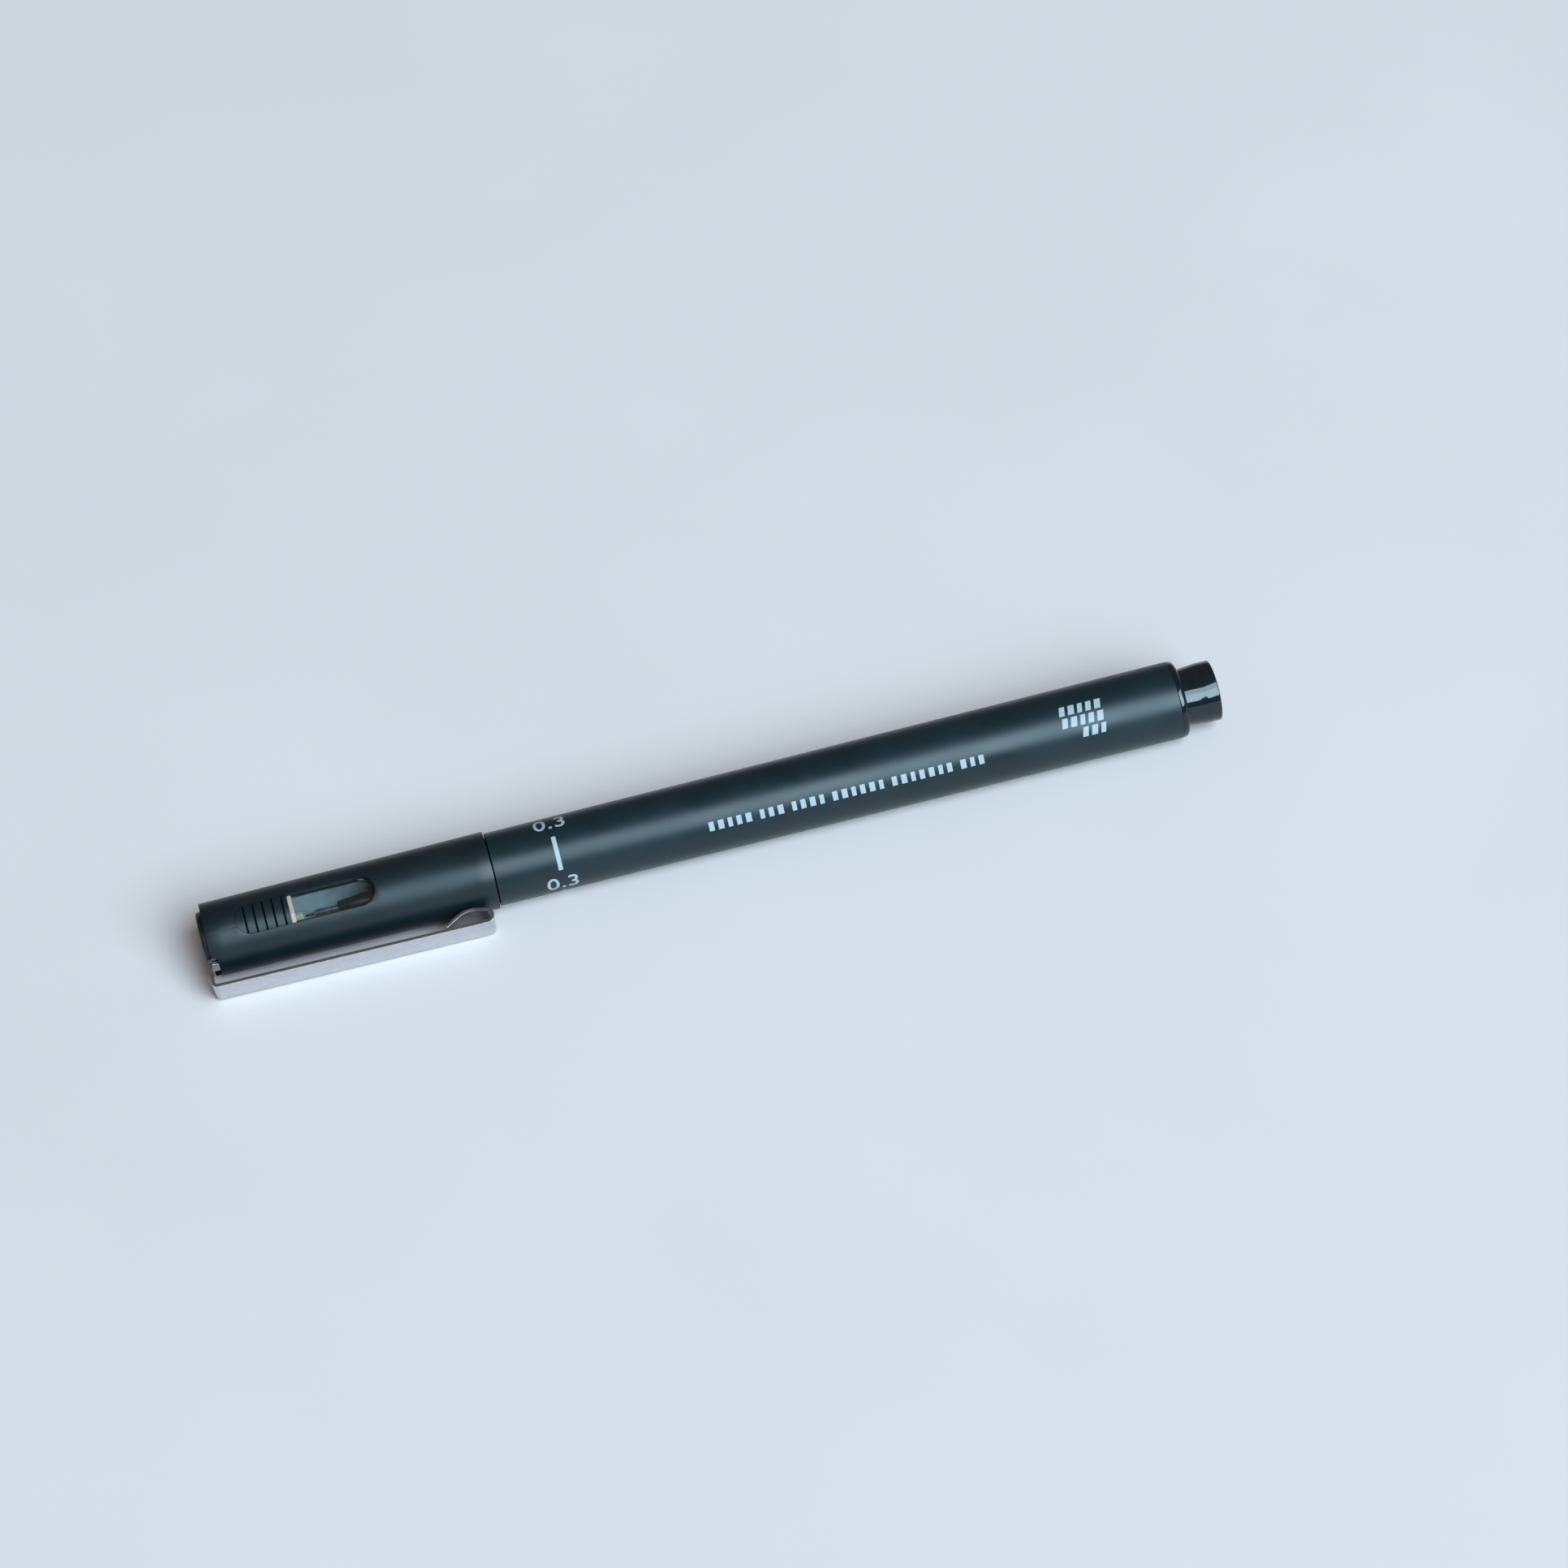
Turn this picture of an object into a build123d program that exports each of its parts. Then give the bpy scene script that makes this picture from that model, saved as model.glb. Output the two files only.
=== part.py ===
from build123d import *
import math
import os

# Capped fibre-tip drawing pen, lying on its side.
# +X runs along the pen from the closed end of the cap to the tail, -Y is the side of the
# pocket clip, +Z is up. The pen rests on Z = 0, centred on X and Y.
# Stations called "at" are distances along the pen from the closed end, in millimetres.

# ---- driving dimensions ------------------------------------------------------------
LENGTH = 137.0            # whole pen, cap on

CAP_RIM_AT = 0.75         # closed rim of the cap shell, just inside the end disc
CAP_MOUTH_AT = 38.6
CAP_END_R = 4.9           # the cap tapers down towards its closed end
CAP_MOUTH_R = 5.15
CAP_BORE_R = 4.3          # front of the bore, around the inserts
CAP_SOCKET_R = 4.45       # wider back of the bore, around the pen's neck
CAP_SOCKET_AT = 24.0

BARREL_AT = 38.8          # front edge of the barrel, behind a narrow open joint
BARREL_FRONT_R = 4.85
BARREL_TAIL_R = 5.15
BARREL_BORE_R = 4.05

FLANGE_AT = 131.4         # tail plug: flange, then the stub that a posted cap slips over
FLANGE_LENGTH = 0.95
STUB_ROOT_R = 3.8
STUB_LAND_R = 4.05
STUB_LAND_LENGTH = 1.9

CLIP_ANGLE = 21.0         # degrees below the horizontal, on the -Y side
CLIP_WIDTH = 4.8
CLIP_THICKNESS = 0.4
CLIP_TONGUE_R = 3.75      # centre of the strip where it enters the cap
CLIP_TONGUE_END_AT = 2.3
CLIP_LEG_AT = 0.3         # centre of the radial leg, just outside the shell's rim
CLIP_ARM_START_R = 7.3    # centre of the strip where the arm begins
CLIP_ARM_END_R = 7.7
CLIP_ARM_END_AT = 36.5

WINDOW_ANGLE = 65.4       # degrees above the horizontal, on the -Y side
WINDOW_START_AT = 4.8
WINDOW_END_AT = 23.36
WINDOW_WIDTH = 4.1
SEAL_DISC_AT = 12.04
SEAL_DISC_THICKNESS = 0.52

NOTCH_WIDTH = 6.0         # rim notch that lets the clip out
NOTCH_DEPTH = 0.8

NIB_TIP_AT = 13.8
SLEEVE_AT = 15.0
TIP_HOLDER_AT = 18.2
NOSE_AT = 22.5
NECK_AT = 31.4
NECK_R = 4.2
SNAP_BEAD_AT = 35.0
SNAP_BEAD_R = 4.38        # runs inside the cap's socket with 0.07 mm to spare

# ---- derived placing ---------------------------------------------------------------
clip_rad = math.radians(CLIP_ANGLE)
clip_face_r = CLIP_ARM_END_R + CLIP_THICKNESS / 2
clip_reach = clip_face_r * math.cos(clip_rad) + CLIP_WIDTH / 2 * math.sin(clip_rad)
axis_y = (clip_reach - BARREL_TAIL_R) / 2       # centres the bounding box on Y = 0
axis_z = BARREL_TAIL_R                          # the widest rounds touch Z = 0
end = (-LENGTH / 2, axis_y, axis_z)             # closed end, on the pen's axis
pen_axis = Axis(end, (1, 0, 0))


def lengthwise_plane(elevation: float) -> Plane:
    """Plane through the pen's axis: local x along the pen, local y outwards at an elevation
    measured upwards from the -Y side."""
    outwards = Vector(0, -math.cos(math.radians(elevation)), math.sin(math.radians(elevation)))
    return Plane(origin=end, x_dir=(1, 0, 0), z_dir=Vector(1, 0, 0).cross(outwards))


def facing_plane(elevation: float, radius: float) -> Plane:
    """Plane tangent to a cylinder about the pen's axis, with its normal pointing outwards."""
    outwards = Vector(0, -math.cos(math.radians(elevation)), math.sin(math.radians(elevation)))
    return Plane(origin=Vector(*end) + outwards * radius, x_dir=(1, 0, 0), z_dir=outwards)


def outline(*stations: tuple) -> Sketch:
    """Closed half section of a turned piece, from (at, radius) stations."""
    with BuildSketch(lengthwise_plane(90)) as section:
        with BuildLine():
            Polyline(*stations, close=True)
        make_face()
    return section.sketch


def cap_outer_r(at: float) -> float:
    """Outside radius of the tapered cap at a station."""
    along = (at - CAP_RIM_AT) / (CAP_MOUTH_AT - CAP_RIM_AT)
    return CAP_END_R + along * (CAP_MOUTH_R - CAP_END_R)


def window_opening(grow: float, start: float, stop: float) -> Part:
    """The round-ended window, grown all round by a margin, cut off square at two stations."""
    with BuildPart() as opening:
        with BuildSketch(facing_plane(WINDOW_ANGLE, 2.0)):
            with Locations(((WINDOW_START_AT + WINDOW_END_AT) / 2, 0)):
                SlotOverall(WINDOW_END_AT - WINDOW_START_AT + 2 * grow, WINDOW_WIDTH + 2 * grow)
            with Locations(((start + stop) / 2, 0)):
                Rectangle(stop - start, 4 * WINDOW_WIDTH, mode=Mode.INTERSECT)
        extrude(amount=5.0)
    return opening.part


# ---- cap: shell --------------------------------------------------------------------
MOUTH_EDGE = 0.12
RIM_EDGE = 0.15
with BuildPart() as cap_shell:
    revolve(
        outline(
            (CAP_RIM_AT, CAP_BORE_R),
            (CAP_RIM_AT, CAP_END_R - RIM_EDGE),
            (CAP_RIM_AT + RIM_EDGE, CAP_END_R),
            (CAP_MOUTH_AT - MOUTH_EDGE, CAP_MOUTH_R),
            (CAP_MOUTH_AT, CAP_MOUTH_R - MOUTH_EDGE),
            (CAP_MOUTH_AT, CAP_SOCKET_R + MOUTH_EDGE),
            (CAP_MOUTH_AT - 2 * MOUTH_EDGE, CAP_SOCKET_R),
            (CAP_SOCKET_AT, CAP_SOCKET_R),
            (CAP_SOCKET_AT, CAP_BORE_R),
        ),
        axis=pen_axis,
    )
    add(window_opening(0.0, WINDOW_START_AT - 1, WINDOW_END_AT + 1), mode=Mode.SUBTRACT)
    with BuildSketch(facing_plane(-CLIP_ANGLE, 2.0)):
        with Locations((CAP_RIM_AT, 0)):
            Rectangle(2 * NOTCH_DEPTH, NOTCH_WIDTH)
    extrude(amount=5.0, mode=Mode.SUBTRACT)
cap_shell.part.label = "cap_shell"

# ---- cap: end plug, whose head shows as a small disc ---------------------------------
DISC_R = 3.9
DISC_EDGE = 0.4
PLUG_END_AT = 4.4
POCKET_FLOOR_R = 3.45     # flat pocket under the clip's tongue
POCKET_WIDTH = 5.2
with BuildPart() as cap_end_plug:
    revolve(
        outline(
            (0, 0),
            (0, DISC_R - DISC_EDGE),
            (DISC_EDGE, DISC_R),
            (CAP_RIM_AT, DISC_R),
            (CAP_RIM_AT, CAP_BORE_R),
            (PLUG_END_AT, CAP_BORE_R),
            (PLUG_END_AT, 0),
        ),
        axis=pen_axis,
    )
    with BuildSketch(facing_plane(-CLIP_ANGLE, POCKET_FLOOR_R)):
        with Locations((0, 0)):
            Rectangle(2 * (CLIP_TONGUE_END_AT + 0.3), POCKET_WIDTH)
    extrude(amount=2.0, mode=Mode.SUBTRACT)
cap_end_plug.part.label = "cap_end_plug"

# ---- cap: ribbed insert that fills the closed-end part of the window -----------------
RIB_COUNT = 5
FIRST_GROOVE_AT = 6.2
GROOVE_PITCH = 1.27
GROOVE_WIDTH = 0.26
GROOVE_DEPTH = 0.35
INSERT_WALL = 1.0
FLUSH_DROP = 0.05         # the ribs and the disc sit this far below the shell's surface


def window_filling(start: float, stop: float, drop: float) -> Part:
    """The window's filling between two stations, with its top a drop below the shell's surface."""
    with BuildPart() as filling:
        revolve(
            outline(
                (start, CAP_BORE_R - 0.5),
                (start, cap_outer_r(start) - drop),
                (stop, cap_outer_r(stop) - drop),
                (stop, CAP_BORE_R - 0.5),
            ),
            axis=pen_axis,
        )
        add(window_opening(0.0, start, stop), mode=Mode.INTERSECT)
    return filling.part


with BuildPart() as ribbed_insert:
    revolve(
        outline(
            (PLUG_END_AT, 0),
            (PLUG_END_AT, CAP_BORE_R),
            (SEAL_DISC_AT, CAP_BORE_R),
            (SEAL_DISC_AT, CAP_BORE_R - INSERT_WALL),
            (PLUG_END_AT + INSERT_WALL, CAP_BORE_R - INSERT_WALL),
            (PLUG_END_AT + INSERT_WALL, 0),
        ),
        axis=pen_axis,
    )
    add(window_filling(WINDOW_START_AT, SEAL_DISC_AT, FLUSH_DROP))
    for groove in range(RIB_COUNT):
        groove_at = FIRST_GROOVE_AT + groove * GROOVE_PITCH
        groove_floor = cap_outer_r(groove_at) - FLUSH_DROP - GROOVE_DEPTH
        with BuildSketch(facing_plane(WINDOW_ANGLE, groove_floor)):
            with Locations((groove_at, 0)):
                Rectangle(GROOVE_WIDTH, 2 * WINDOW_WIDTH)
        extrude(amount=2.0, mode=Mode.SUBTRACT)
ribbed_insert.part.label = "ribbed_insert"

# ---- cap: pale seal disc, whose edge shows across the window, with a boss by the nib ----
SEAL_DISC_END_AT = SEAL_DISC_AT + SEAL_DISC_THICKNESS
SEAL_BOSS_R = 0.6
SEAL_BOSS_END_AT = NIB_TIP_AT - 0.2
with BuildPart() as seal_disc:
    revolve(
        outline(
            (SEAL_DISC_AT, 0),
            (SEAL_DISC_AT, CAP_BORE_R),
            (SEAL_DISC_END_AT, CAP_BORE_R),
            (SEAL_DISC_END_AT, SEAL_BOSS_R),
            (SEAL_BOSS_END_AT, SEAL_BOSS_R),
            (SEAL_BOSS_END_AT, 0),
        ),
        axis=pen_axis,
    )
    add(window_filling(SEAL_DISC_AT, SEAL_DISC_END_AT, FLUSH_DROP))
seal_disc.part.label = "seal_disc"

# ---- cap: clear pane, a little recessed, with a flange behind the window's edge ---------
PANE_DROP = 0.45
FLANGE_MARGIN = 0.5
PANE_FLANGE_R = 3.75
with BuildPart() as window_pane:
    revolve(
        outline(
            (SEAL_DISC_END_AT, PANE_FLANGE_R),
            (SEAL_DISC_END_AT, CAP_BORE_R),
            (CAP_SOCKET_AT, CAP_BORE_R),
            (CAP_SOCKET_AT, PANE_FLANGE_R),
        ),
        axis=pen_axis,
    )
    add(window_opening(FLANGE_MARGIN, SEAL_DISC_END_AT, CAP_SOCKET_AT), mode=Mode.INTERSECT)
    add(window_filling(SEAL_DISC_END_AT, WINDOW_END_AT, PANE_DROP))
window_pane.part.label = "window_pane"

# ---- cap: pale liner, thin round the nib, thick where it closes on the nose -------------
LINER_END_AT = 31.0
LINER_BORE_R = 3.35
LINER_GAP = 0.05          # round the pane's flange
with BuildPart() as seal_liner:
    revolve(
        outline(
            (SEAL_DISC_END_AT, PANE_FLANGE_R),
            (SEAL_DISC_END_AT, CAP_BORE_R),
            (CAP_SOCKET_AT, CAP_BORE_R),
            (CAP_SOCKET_AT, CAP_SOCKET_R),
            (LINER_END_AT, CAP_SOCKET_R),
            (LINER_END_AT, LINER_BORE_R + 0.5),
            (LINER_END_AT - 0.5, LINER_BORE_R),
            (CAP_SOCKET_AT, LINER_BORE_R),
            (CAP_SOCKET_AT, PANE_FLANGE_R),
        ),
        axis=pen_axis,
    )
    add(
        window_opening(FLANGE_MARGIN + LINER_GAP, SEAL_DISC_END_AT, CAP_SOCKET_AT),
        mode=Mode.SUBTRACT,
    )
seal_liner.part.label = "seal_liner"

# ---- pocket clip: one bent strip of spring steel ---------------------------------------
TONGUE_NECK_AT = 1.35     # inside the shell the tongue is narrower, to fit the round bore
TONGUE_NECK_WIDTH = 2.4
TONGUE_BEND_R = 0.35      # all bend radii are to the centre of the strip
ARM_BEND_R = 0.5
TIP_BEND_R = 0.8
TIP_BEND_TURN = 150.0     # degrees from the arm's direction, turning in towards the cap
TIP_ARCH_R = 3.4
TIP_ARCH_TURN = 60.0
TIP_TAIL_LENGTH = 1.85    # straight end that comes back to the arm
arm_slope = math.degrees(
    math.atan2(CLIP_ARM_END_R - CLIP_ARM_START_R, CLIP_ARM_END_AT - CLIP_LEG_AT - ARM_BEND_R)
)
with BuildPart() as pocket_clip:
    with BuildSketch(lengthwise_plane(-CLIP_ANGLE)):
        with BuildLine():
            tongue = Line(
                (CLIP_TONGUE_END_AT, CLIP_TONGUE_R),
                (CLIP_LEG_AT + TONGUE_BEND_R, CLIP_TONGUE_R),
            )
            tongue_bend = JernArc(tongue @ 1, (-1, 0), TONGUE_BEND_R, -90)
            leg = Line(tongue_bend @ 1, (CLIP_LEG_AT, CLIP_ARM_START_R - ARM_BEND_R))
            arm_bend = JernArc(leg @ 1, (0, 1), ARM_BEND_R, -90 + arm_slope)
            arm = Line(arm_bend @ 1, (CLIP_ARM_END_AT, CLIP_ARM_END_R))
            tip_bend = JernArc(arm @ 1, arm % 1, TIP_BEND_R, -TIP_BEND_TURN)
            tip_arch = JernArc(tip_bend @ 1, tip_bend % 1, TIP_ARCH_R, -TIP_ARCH_TURN)
            Line(tip_arch @ 1, tip_arch @ 1 + (tip_arch % 1) * TIP_TAIL_LENGTH)
        trace(line_width=CLIP_THICKNESS)
    extrude(amount=CLIP_WIDTH / 2, both=True)
    with BuildSketch(facing_plane(-CLIP_ANGLE, CLIP_TONGUE_R - CLIP_THICKNESS)):
        with Locations((TONGUE_NECK_AT + CLIP_TONGUE_END_AT / 2, 0)):
            Rectangle(CLIP_TONGUE_END_AT, 2 * CLIP_WIDTH)
            Rectangle(2 * CLIP_TONGUE_END_AT, TONGUE_NECK_WIDTH, mode=Mode.SUBTRACT)
    extrude(amount=2 * CLIP_THICKNESS, mode=Mode.SUBTRACT)
pocket_clip.part.label = "pocket_clip"

# ---- barrel ----------------------------------------------------------------------------
BARREL_EDGE = 0.15
with BuildPart() as barrel_tube:
    revolve(
        outline(
            (BARREL_AT, BARREL_BORE_R),
            (BARREL_AT, BARREL_FRONT_R - BARREL_EDGE),
            (BARREL_AT + BARREL_EDGE, BARREL_FRONT_R),
            (FLANGE_AT, BARREL_TAIL_R),
            (FLANGE_AT, BARREL_BORE_R),
        ),
        axis=pen_axis,
    )
barrel_tube.part.label = "barrel_tube"

# ---- nose section: hollow cone, neck with a snap bead, and the plug inside the barrel ---
NOSE_TIP_R = 1.9
NOSE_CONE_END_AT = 29.0
NOSE_CONE_END_R = 3.0
NOSE_SHOULDER_AT = 30.9
NOSE_SHOULDER_R = 3.2
NOSE_END_AT = 50.0
HOLDER_BORE_R = 1.2
HOLDER_END_AT = 26.0
CHANNEL_R = 1.05
COLLAR_AT = 47.0          # back pocket for the wick's collar
COLLAR_R = 2.5
with BuildPart() as nose_section:
    revolve(
        outline(
            (NOSE_AT, HOLDER_BORE_R),
            (NOSE_AT, NOSE_TIP_R),
            (NOSE_CONE_END_AT, NOSE_CONE_END_R),
            (NOSE_SHOULDER_AT, NOSE_SHOULDER_R),
            (NECK_AT, NECK_R),
            (SNAP_BEAD_AT - 0.5, NECK_R),
            (SNAP_BEAD_AT - 0.15, SNAP_BEAD_R),
            (SNAP_BEAD_AT + 0.15, SNAP_BEAD_R),
            (SNAP_BEAD_AT + 0.5, NECK_R),
            (BARREL_AT, NECK_R),
            (BARREL_AT, BARREL_BORE_R),
            (NOSE_END_AT, BARREL_BORE_R),
            (NOSE_END_AT, COLLAR_R),
            (COLLAR_AT, COLLAR_R),
            (COLLAR_AT, CHANNEL_R),
            (HOLDER_END_AT, CHANNEL_R),
            (HOLDER_END_AT, HOLDER_BORE_R),
        ),
        axis=pen_axis,
    )
nose_section.part.label = "nose_section"

# ---- tip holder, steel sleeve and fibre nib ----------------------------------------------
HOLDER_TIP_R = 0.85
HOLDER_STEP_AT = 21.5
SLEEVE_R = 0.5
SLEEVE_BORE_R = 0.22
with BuildPart() as tip_holder:
    revolve(
        outline(
            (TIP_HOLDER_AT, SLEEVE_R),
            (TIP_HOLDER_AT, HOLDER_TIP_R),
            (HOLDER_STEP_AT, HOLDER_BORE_R),
            (HOLDER_END_AT, HOLDER_BORE_R),
            (HOLDER_END_AT, SLEEVE_R),
        ),
        axis=pen_axis,
    )
tip_holder.part.label = "tip_holder"

SLEEVE_EDGE = 0.25        # the sleeve's front is drawn in to grip the nib
with BuildPart() as nib_sleeve:
    revolve(
        outline(
            (SLEEVE_AT, SLEEVE_BORE_R),
            (SLEEVE_AT, SLEEVE_R - SLEEVE_EDGE / 2),
            (SLEEVE_AT + SLEEVE_EDGE, SLEEVE_R),
            (HOLDER_END_AT, SLEEVE_R),
            (HOLDER_END_AT, SLEEVE_BORE_R),
        ),
        axis=pen_axis,
    )
nib_sleeve.part.label = "nib_sleeve"

NIB_TIP_R = 0.15          # draws a 0.3 mm line
with BuildPart() as fibre_nib:
    revolve(
        outline(
            (NIB_TIP_AT, 0),
            (NIB_TIP_AT + 0.08, NIB_TIP_R),
            (SLEEVE_AT - 0.2, SLEEVE_BORE_R),
            (HOLDER_END_AT, SLEEVE_BORE_R),
            (HOLDER_END_AT, 0),
        ),
        axis=pen_axis,
    )
fibre_nib.part.label = "fibre_nib"

# ---- ink feed: wick, its collar, the reservoir and its film --------------------------------
WICK_R = 1.0
WICK_END_AT = 56.0
RESERVOIR_AT = 50.5
RESERVOIR_END_AT = 122.0
RESERVOIR_R = 3.5
FILM_R = 3.62
with BuildPart() as ink_wick:
    revolve(
        outline((HOLDER_END_AT, 0), (HOLDER_END_AT, WICK_R), (WICK_END_AT, WICK_R), (WICK_END_AT, 0)),
        axis=pen_axis,
    )
ink_wick.part.label = "ink_wick"

with BuildPart() as wick_collar:
    revolve(
        outline(
            (COLLAR_AT, WICK_R),
            (COLLAR_AT, COLLAR_R),
            (NOSE_END_AT, COLLAR_R),
            (NOSE_END_AT, WICK_R),
        ),
        axis=pen_axis,
    )
wick_collar.part.label = "wick_collar"

with BuildPart() as ink_reservoir:
    revolve(
        outline(
            (RESERVOIR_AT, WICK_R),
            (RESERVOIR_AT, RESERVOIR_R),
            (RESERVOIR_END_AT, RESERVOIR_R),
            (RESERVOIR_END_AT, 0),
            (WICK_END_AT, 0),
            (WICK_END_AT, WICK_R),
        ),
        axis=pen_axis,
    )
ink_reservoir.part.label = "ink_reservoir"

with BuildPart() as reservoir_film:
    revolve(
        outline(
            (RESERVOIR_AT, RESERVOIR_R),
            (RESERVOIR_AT, FILM_R),
            (RESERVOIR_END_AT, FILM_R),
            (RESERVOIR_END_AT, RESERVOIR_R),
        ),
        axis=pen_axis,
    )
reservoir_film.part.label = "reservoir_film"

# ---- tail plug: spigot in the barrel, rounded flange, flared stub ---------------------------
SPIGOT_AT = 122.5
FLANGE_FRONT_EDGE = 0.12
FLANGE_BACK_EDGE = 0.6     # rounded shoulder down to the stub
STUB_EDGE = 0.15
flange_end_at = FLANGE_AT + FLANGE_LENGTH
land_at = LENGTH - STUB_LAND_LENGTH
with BuildPart() as tail_plug:
    revolve(
        outline(
            (SPIGOT_AT, 0),
            (SPIGOT_AT, BARREL_BORE_R),
            (FLANGE_AT, BARREL_BORE_R),
            (FLANGE_AT, BARREL_TAIL_R - FLANGE_FRONT_EDGE),
            (FLANGE_AT + FLANGE_FRONT_EDGE, BARREL_TAIL_R),
            (flange_end_at - FLANGE_BACK_EDGE, BARREL_TAIL_R),
            (flange_end_at, BARREL_TAIL_R - FLANGE_BACK_EDGE),
            (flange_end_at, STUB_ROOT_R),
            (land_at, STUB_LAND_R),
            (LENGTH - STUB_EDGE, STUB_LAND_R),
            (LENGTH, STUB_LAND_R - STUB_EDGE),
            (LENGTH, 0),
        ),
        axis=pen_axis,
    )
tail_plug.part.label = "tail_plug"

# ---- output ---------------------------------------------------------------------------------
os.makedirs("parts", exist_ok=True)
export_step(cap_shell.part, "parts/cap_shell.step")
export_step(cap_end_plug.part, "parts/cap_end_plug.step")
export_step(ribbed_insert.part, "parts/ribbed_insert.step")
export_step(seal_disc.part, "parts/seal_disc.step")
export_step(window_pane.part, "parts/window_pane.step")
export_step(seal_liner.part, "parts/seal_liner.step")
export_step(pocket_clip.part, "parts/pocket_clip.step")
export_step(barrel_tube.part, "parts/barrel_tube.step")
export_step(nose_section.part, "parts/nose_section.step")
export_step(tip_holder.part, "parts/tip_holder.step")
export_step(nib_sleeve.part, "parts/nib_sleeve.step")
export_step(fibre_nib.part, "parts/fibre_nib.step")
export_step(ink_wick.part, "parts/ink_wick.step")
export_step(wick_collar.part, "parts/wick_collar.step")
export_step(ink_reservoir.part, "parts/ink_reservoir.step")
export_step(reservoir_film.part, "parts/reservoir_film.step")
export_step(tail_plug.part, "parts/tail_plug.step")

print("pen axis at y", round(axis_y, 3), "z", round(axis_z, 3))
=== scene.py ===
import logging
import math
from dataclasses import dataclass, field
from enum import Enum
from typing import Any, Callable, Optional, Sequence

import bpy
from bpy.types import Material, MeshEdge, Node, NodeSocket, Object
from mathutils import Matrix, Vector


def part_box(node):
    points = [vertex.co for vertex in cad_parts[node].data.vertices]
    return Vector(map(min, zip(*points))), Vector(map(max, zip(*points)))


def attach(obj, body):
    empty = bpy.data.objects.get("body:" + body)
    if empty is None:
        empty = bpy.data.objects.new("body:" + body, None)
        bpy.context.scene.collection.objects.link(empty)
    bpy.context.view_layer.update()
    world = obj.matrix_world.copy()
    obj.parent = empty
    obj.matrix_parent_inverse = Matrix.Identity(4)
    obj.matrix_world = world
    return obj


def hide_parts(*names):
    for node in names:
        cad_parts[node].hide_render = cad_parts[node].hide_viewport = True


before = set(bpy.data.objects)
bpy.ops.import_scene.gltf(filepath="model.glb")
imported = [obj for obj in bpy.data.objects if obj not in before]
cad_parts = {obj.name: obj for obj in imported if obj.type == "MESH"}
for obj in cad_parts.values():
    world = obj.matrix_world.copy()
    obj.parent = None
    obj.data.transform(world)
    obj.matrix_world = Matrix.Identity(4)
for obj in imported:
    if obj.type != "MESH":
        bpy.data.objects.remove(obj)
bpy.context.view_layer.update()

# A capped fibre-tip drawing pen lying on its side: the visible pieces and their finishes.
# Sizes are in millimetres. A station, "at", is a distance along the pen from the cap's closed
# end, and an elevation is an angle about the pen, measured upwards from the clip's side (-Y).

log = logging.getLogger("drawing_pen")

Pair = tuple[float, float]
Station = Pair  # at, radius
Triple = tuple[float, float, float]
Spot = tuple[float, float, float, float]
Optics = tuple[tuple[str, float], ...]
MERGE_MM = 0.001  # closes seams
FIT = 0.02  # the fine gap round a part that is pressed in
GAP = 0.01  # between two parts that meet end to end
PAST = 1.0  # how far a cutter reaches past what it cuts
SMOOTH_DEGREES = 32.0
UP = 90.0  # the elevation of a piece that is modelled facing up


def metres(size_mm: float) -> float:
    """A size in metres."""
    return size_mm * 0.001


def per_mm(size_mm: float) -> float:
    """The scale of a texture on object coordinates whose features are this large."""
    return 1000.0 / size_mm


def linear(colour: str) -> tuple[float, float, float, float]:
    """A linear colour.

    Args:
        colour: an sRGB hex value, such as "#1c1f20".

    Returns:
        Red, green, blue and an alpha of 1.
    """
    parts = [int(colour[start:start + 2], 16) / 255 for start in (1, 3, 5)]
    red, green, blue = (p / 12.92 if p <= 0.04045 else ((p + 0.055) / 1.055) ** 2.4 for p in parts)
    return red, green, blue, 1.0


# ---- where the pen stands ----


@dataclass(frozen=True)
class PenLine:
    """The pen's own line: its closed end and its axis, in the frame's metres."""

    end_x: float
    axis_y: float
    axis_z: float

    @classmethod
    def from_frame(cls) -> "PenLine":
        """Reads the line from the barrel and from the plug at the closed end."""
        low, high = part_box("barrel_tube")
        return cls(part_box("cap_end_plug")[0].x, (low.y + high.y) / 2, (low.z + high.z) / 2)

    def place(self, at: float, radius: float = 0.0, elevation: float = 0.0) -> Vector:
        """A point by station, radius and elevation, in metres.

        Args:
            at: the station.
            radius: the distance from the axis.
            elevation: the angle about the pen.

        Returns:
            The point.
        """
        angle = math.radians(elevation)
        return Vector((
            self.end_x + metres(at),
            self.axis_y - metres(radius) * math.cos(angle),
            self.axis_z + metres(radius) * math.sin(angle),
        ))

    def facing(self, elevation: float) -> Matrix:
        """A turn about the pen that points +Z outwards at an elevation."""
        return Matrix.Rotation(math.radians(90.0 - elevation), 4, "X")

    def span(self, node: str) -> Pair:
        """The stations where a node begins and ends."""
        low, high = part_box(node)
        return (low.x - self.end_x) * 1000, (high.x - self.end_x) * 1000

    def widest(self, node: str) -> float:
        """The largest radius of a turned node."""
        return (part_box(node)[1].y - self.axis_y) * 1000


LINE = PenLine.from_frame()


# ---- finishes ----


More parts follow.
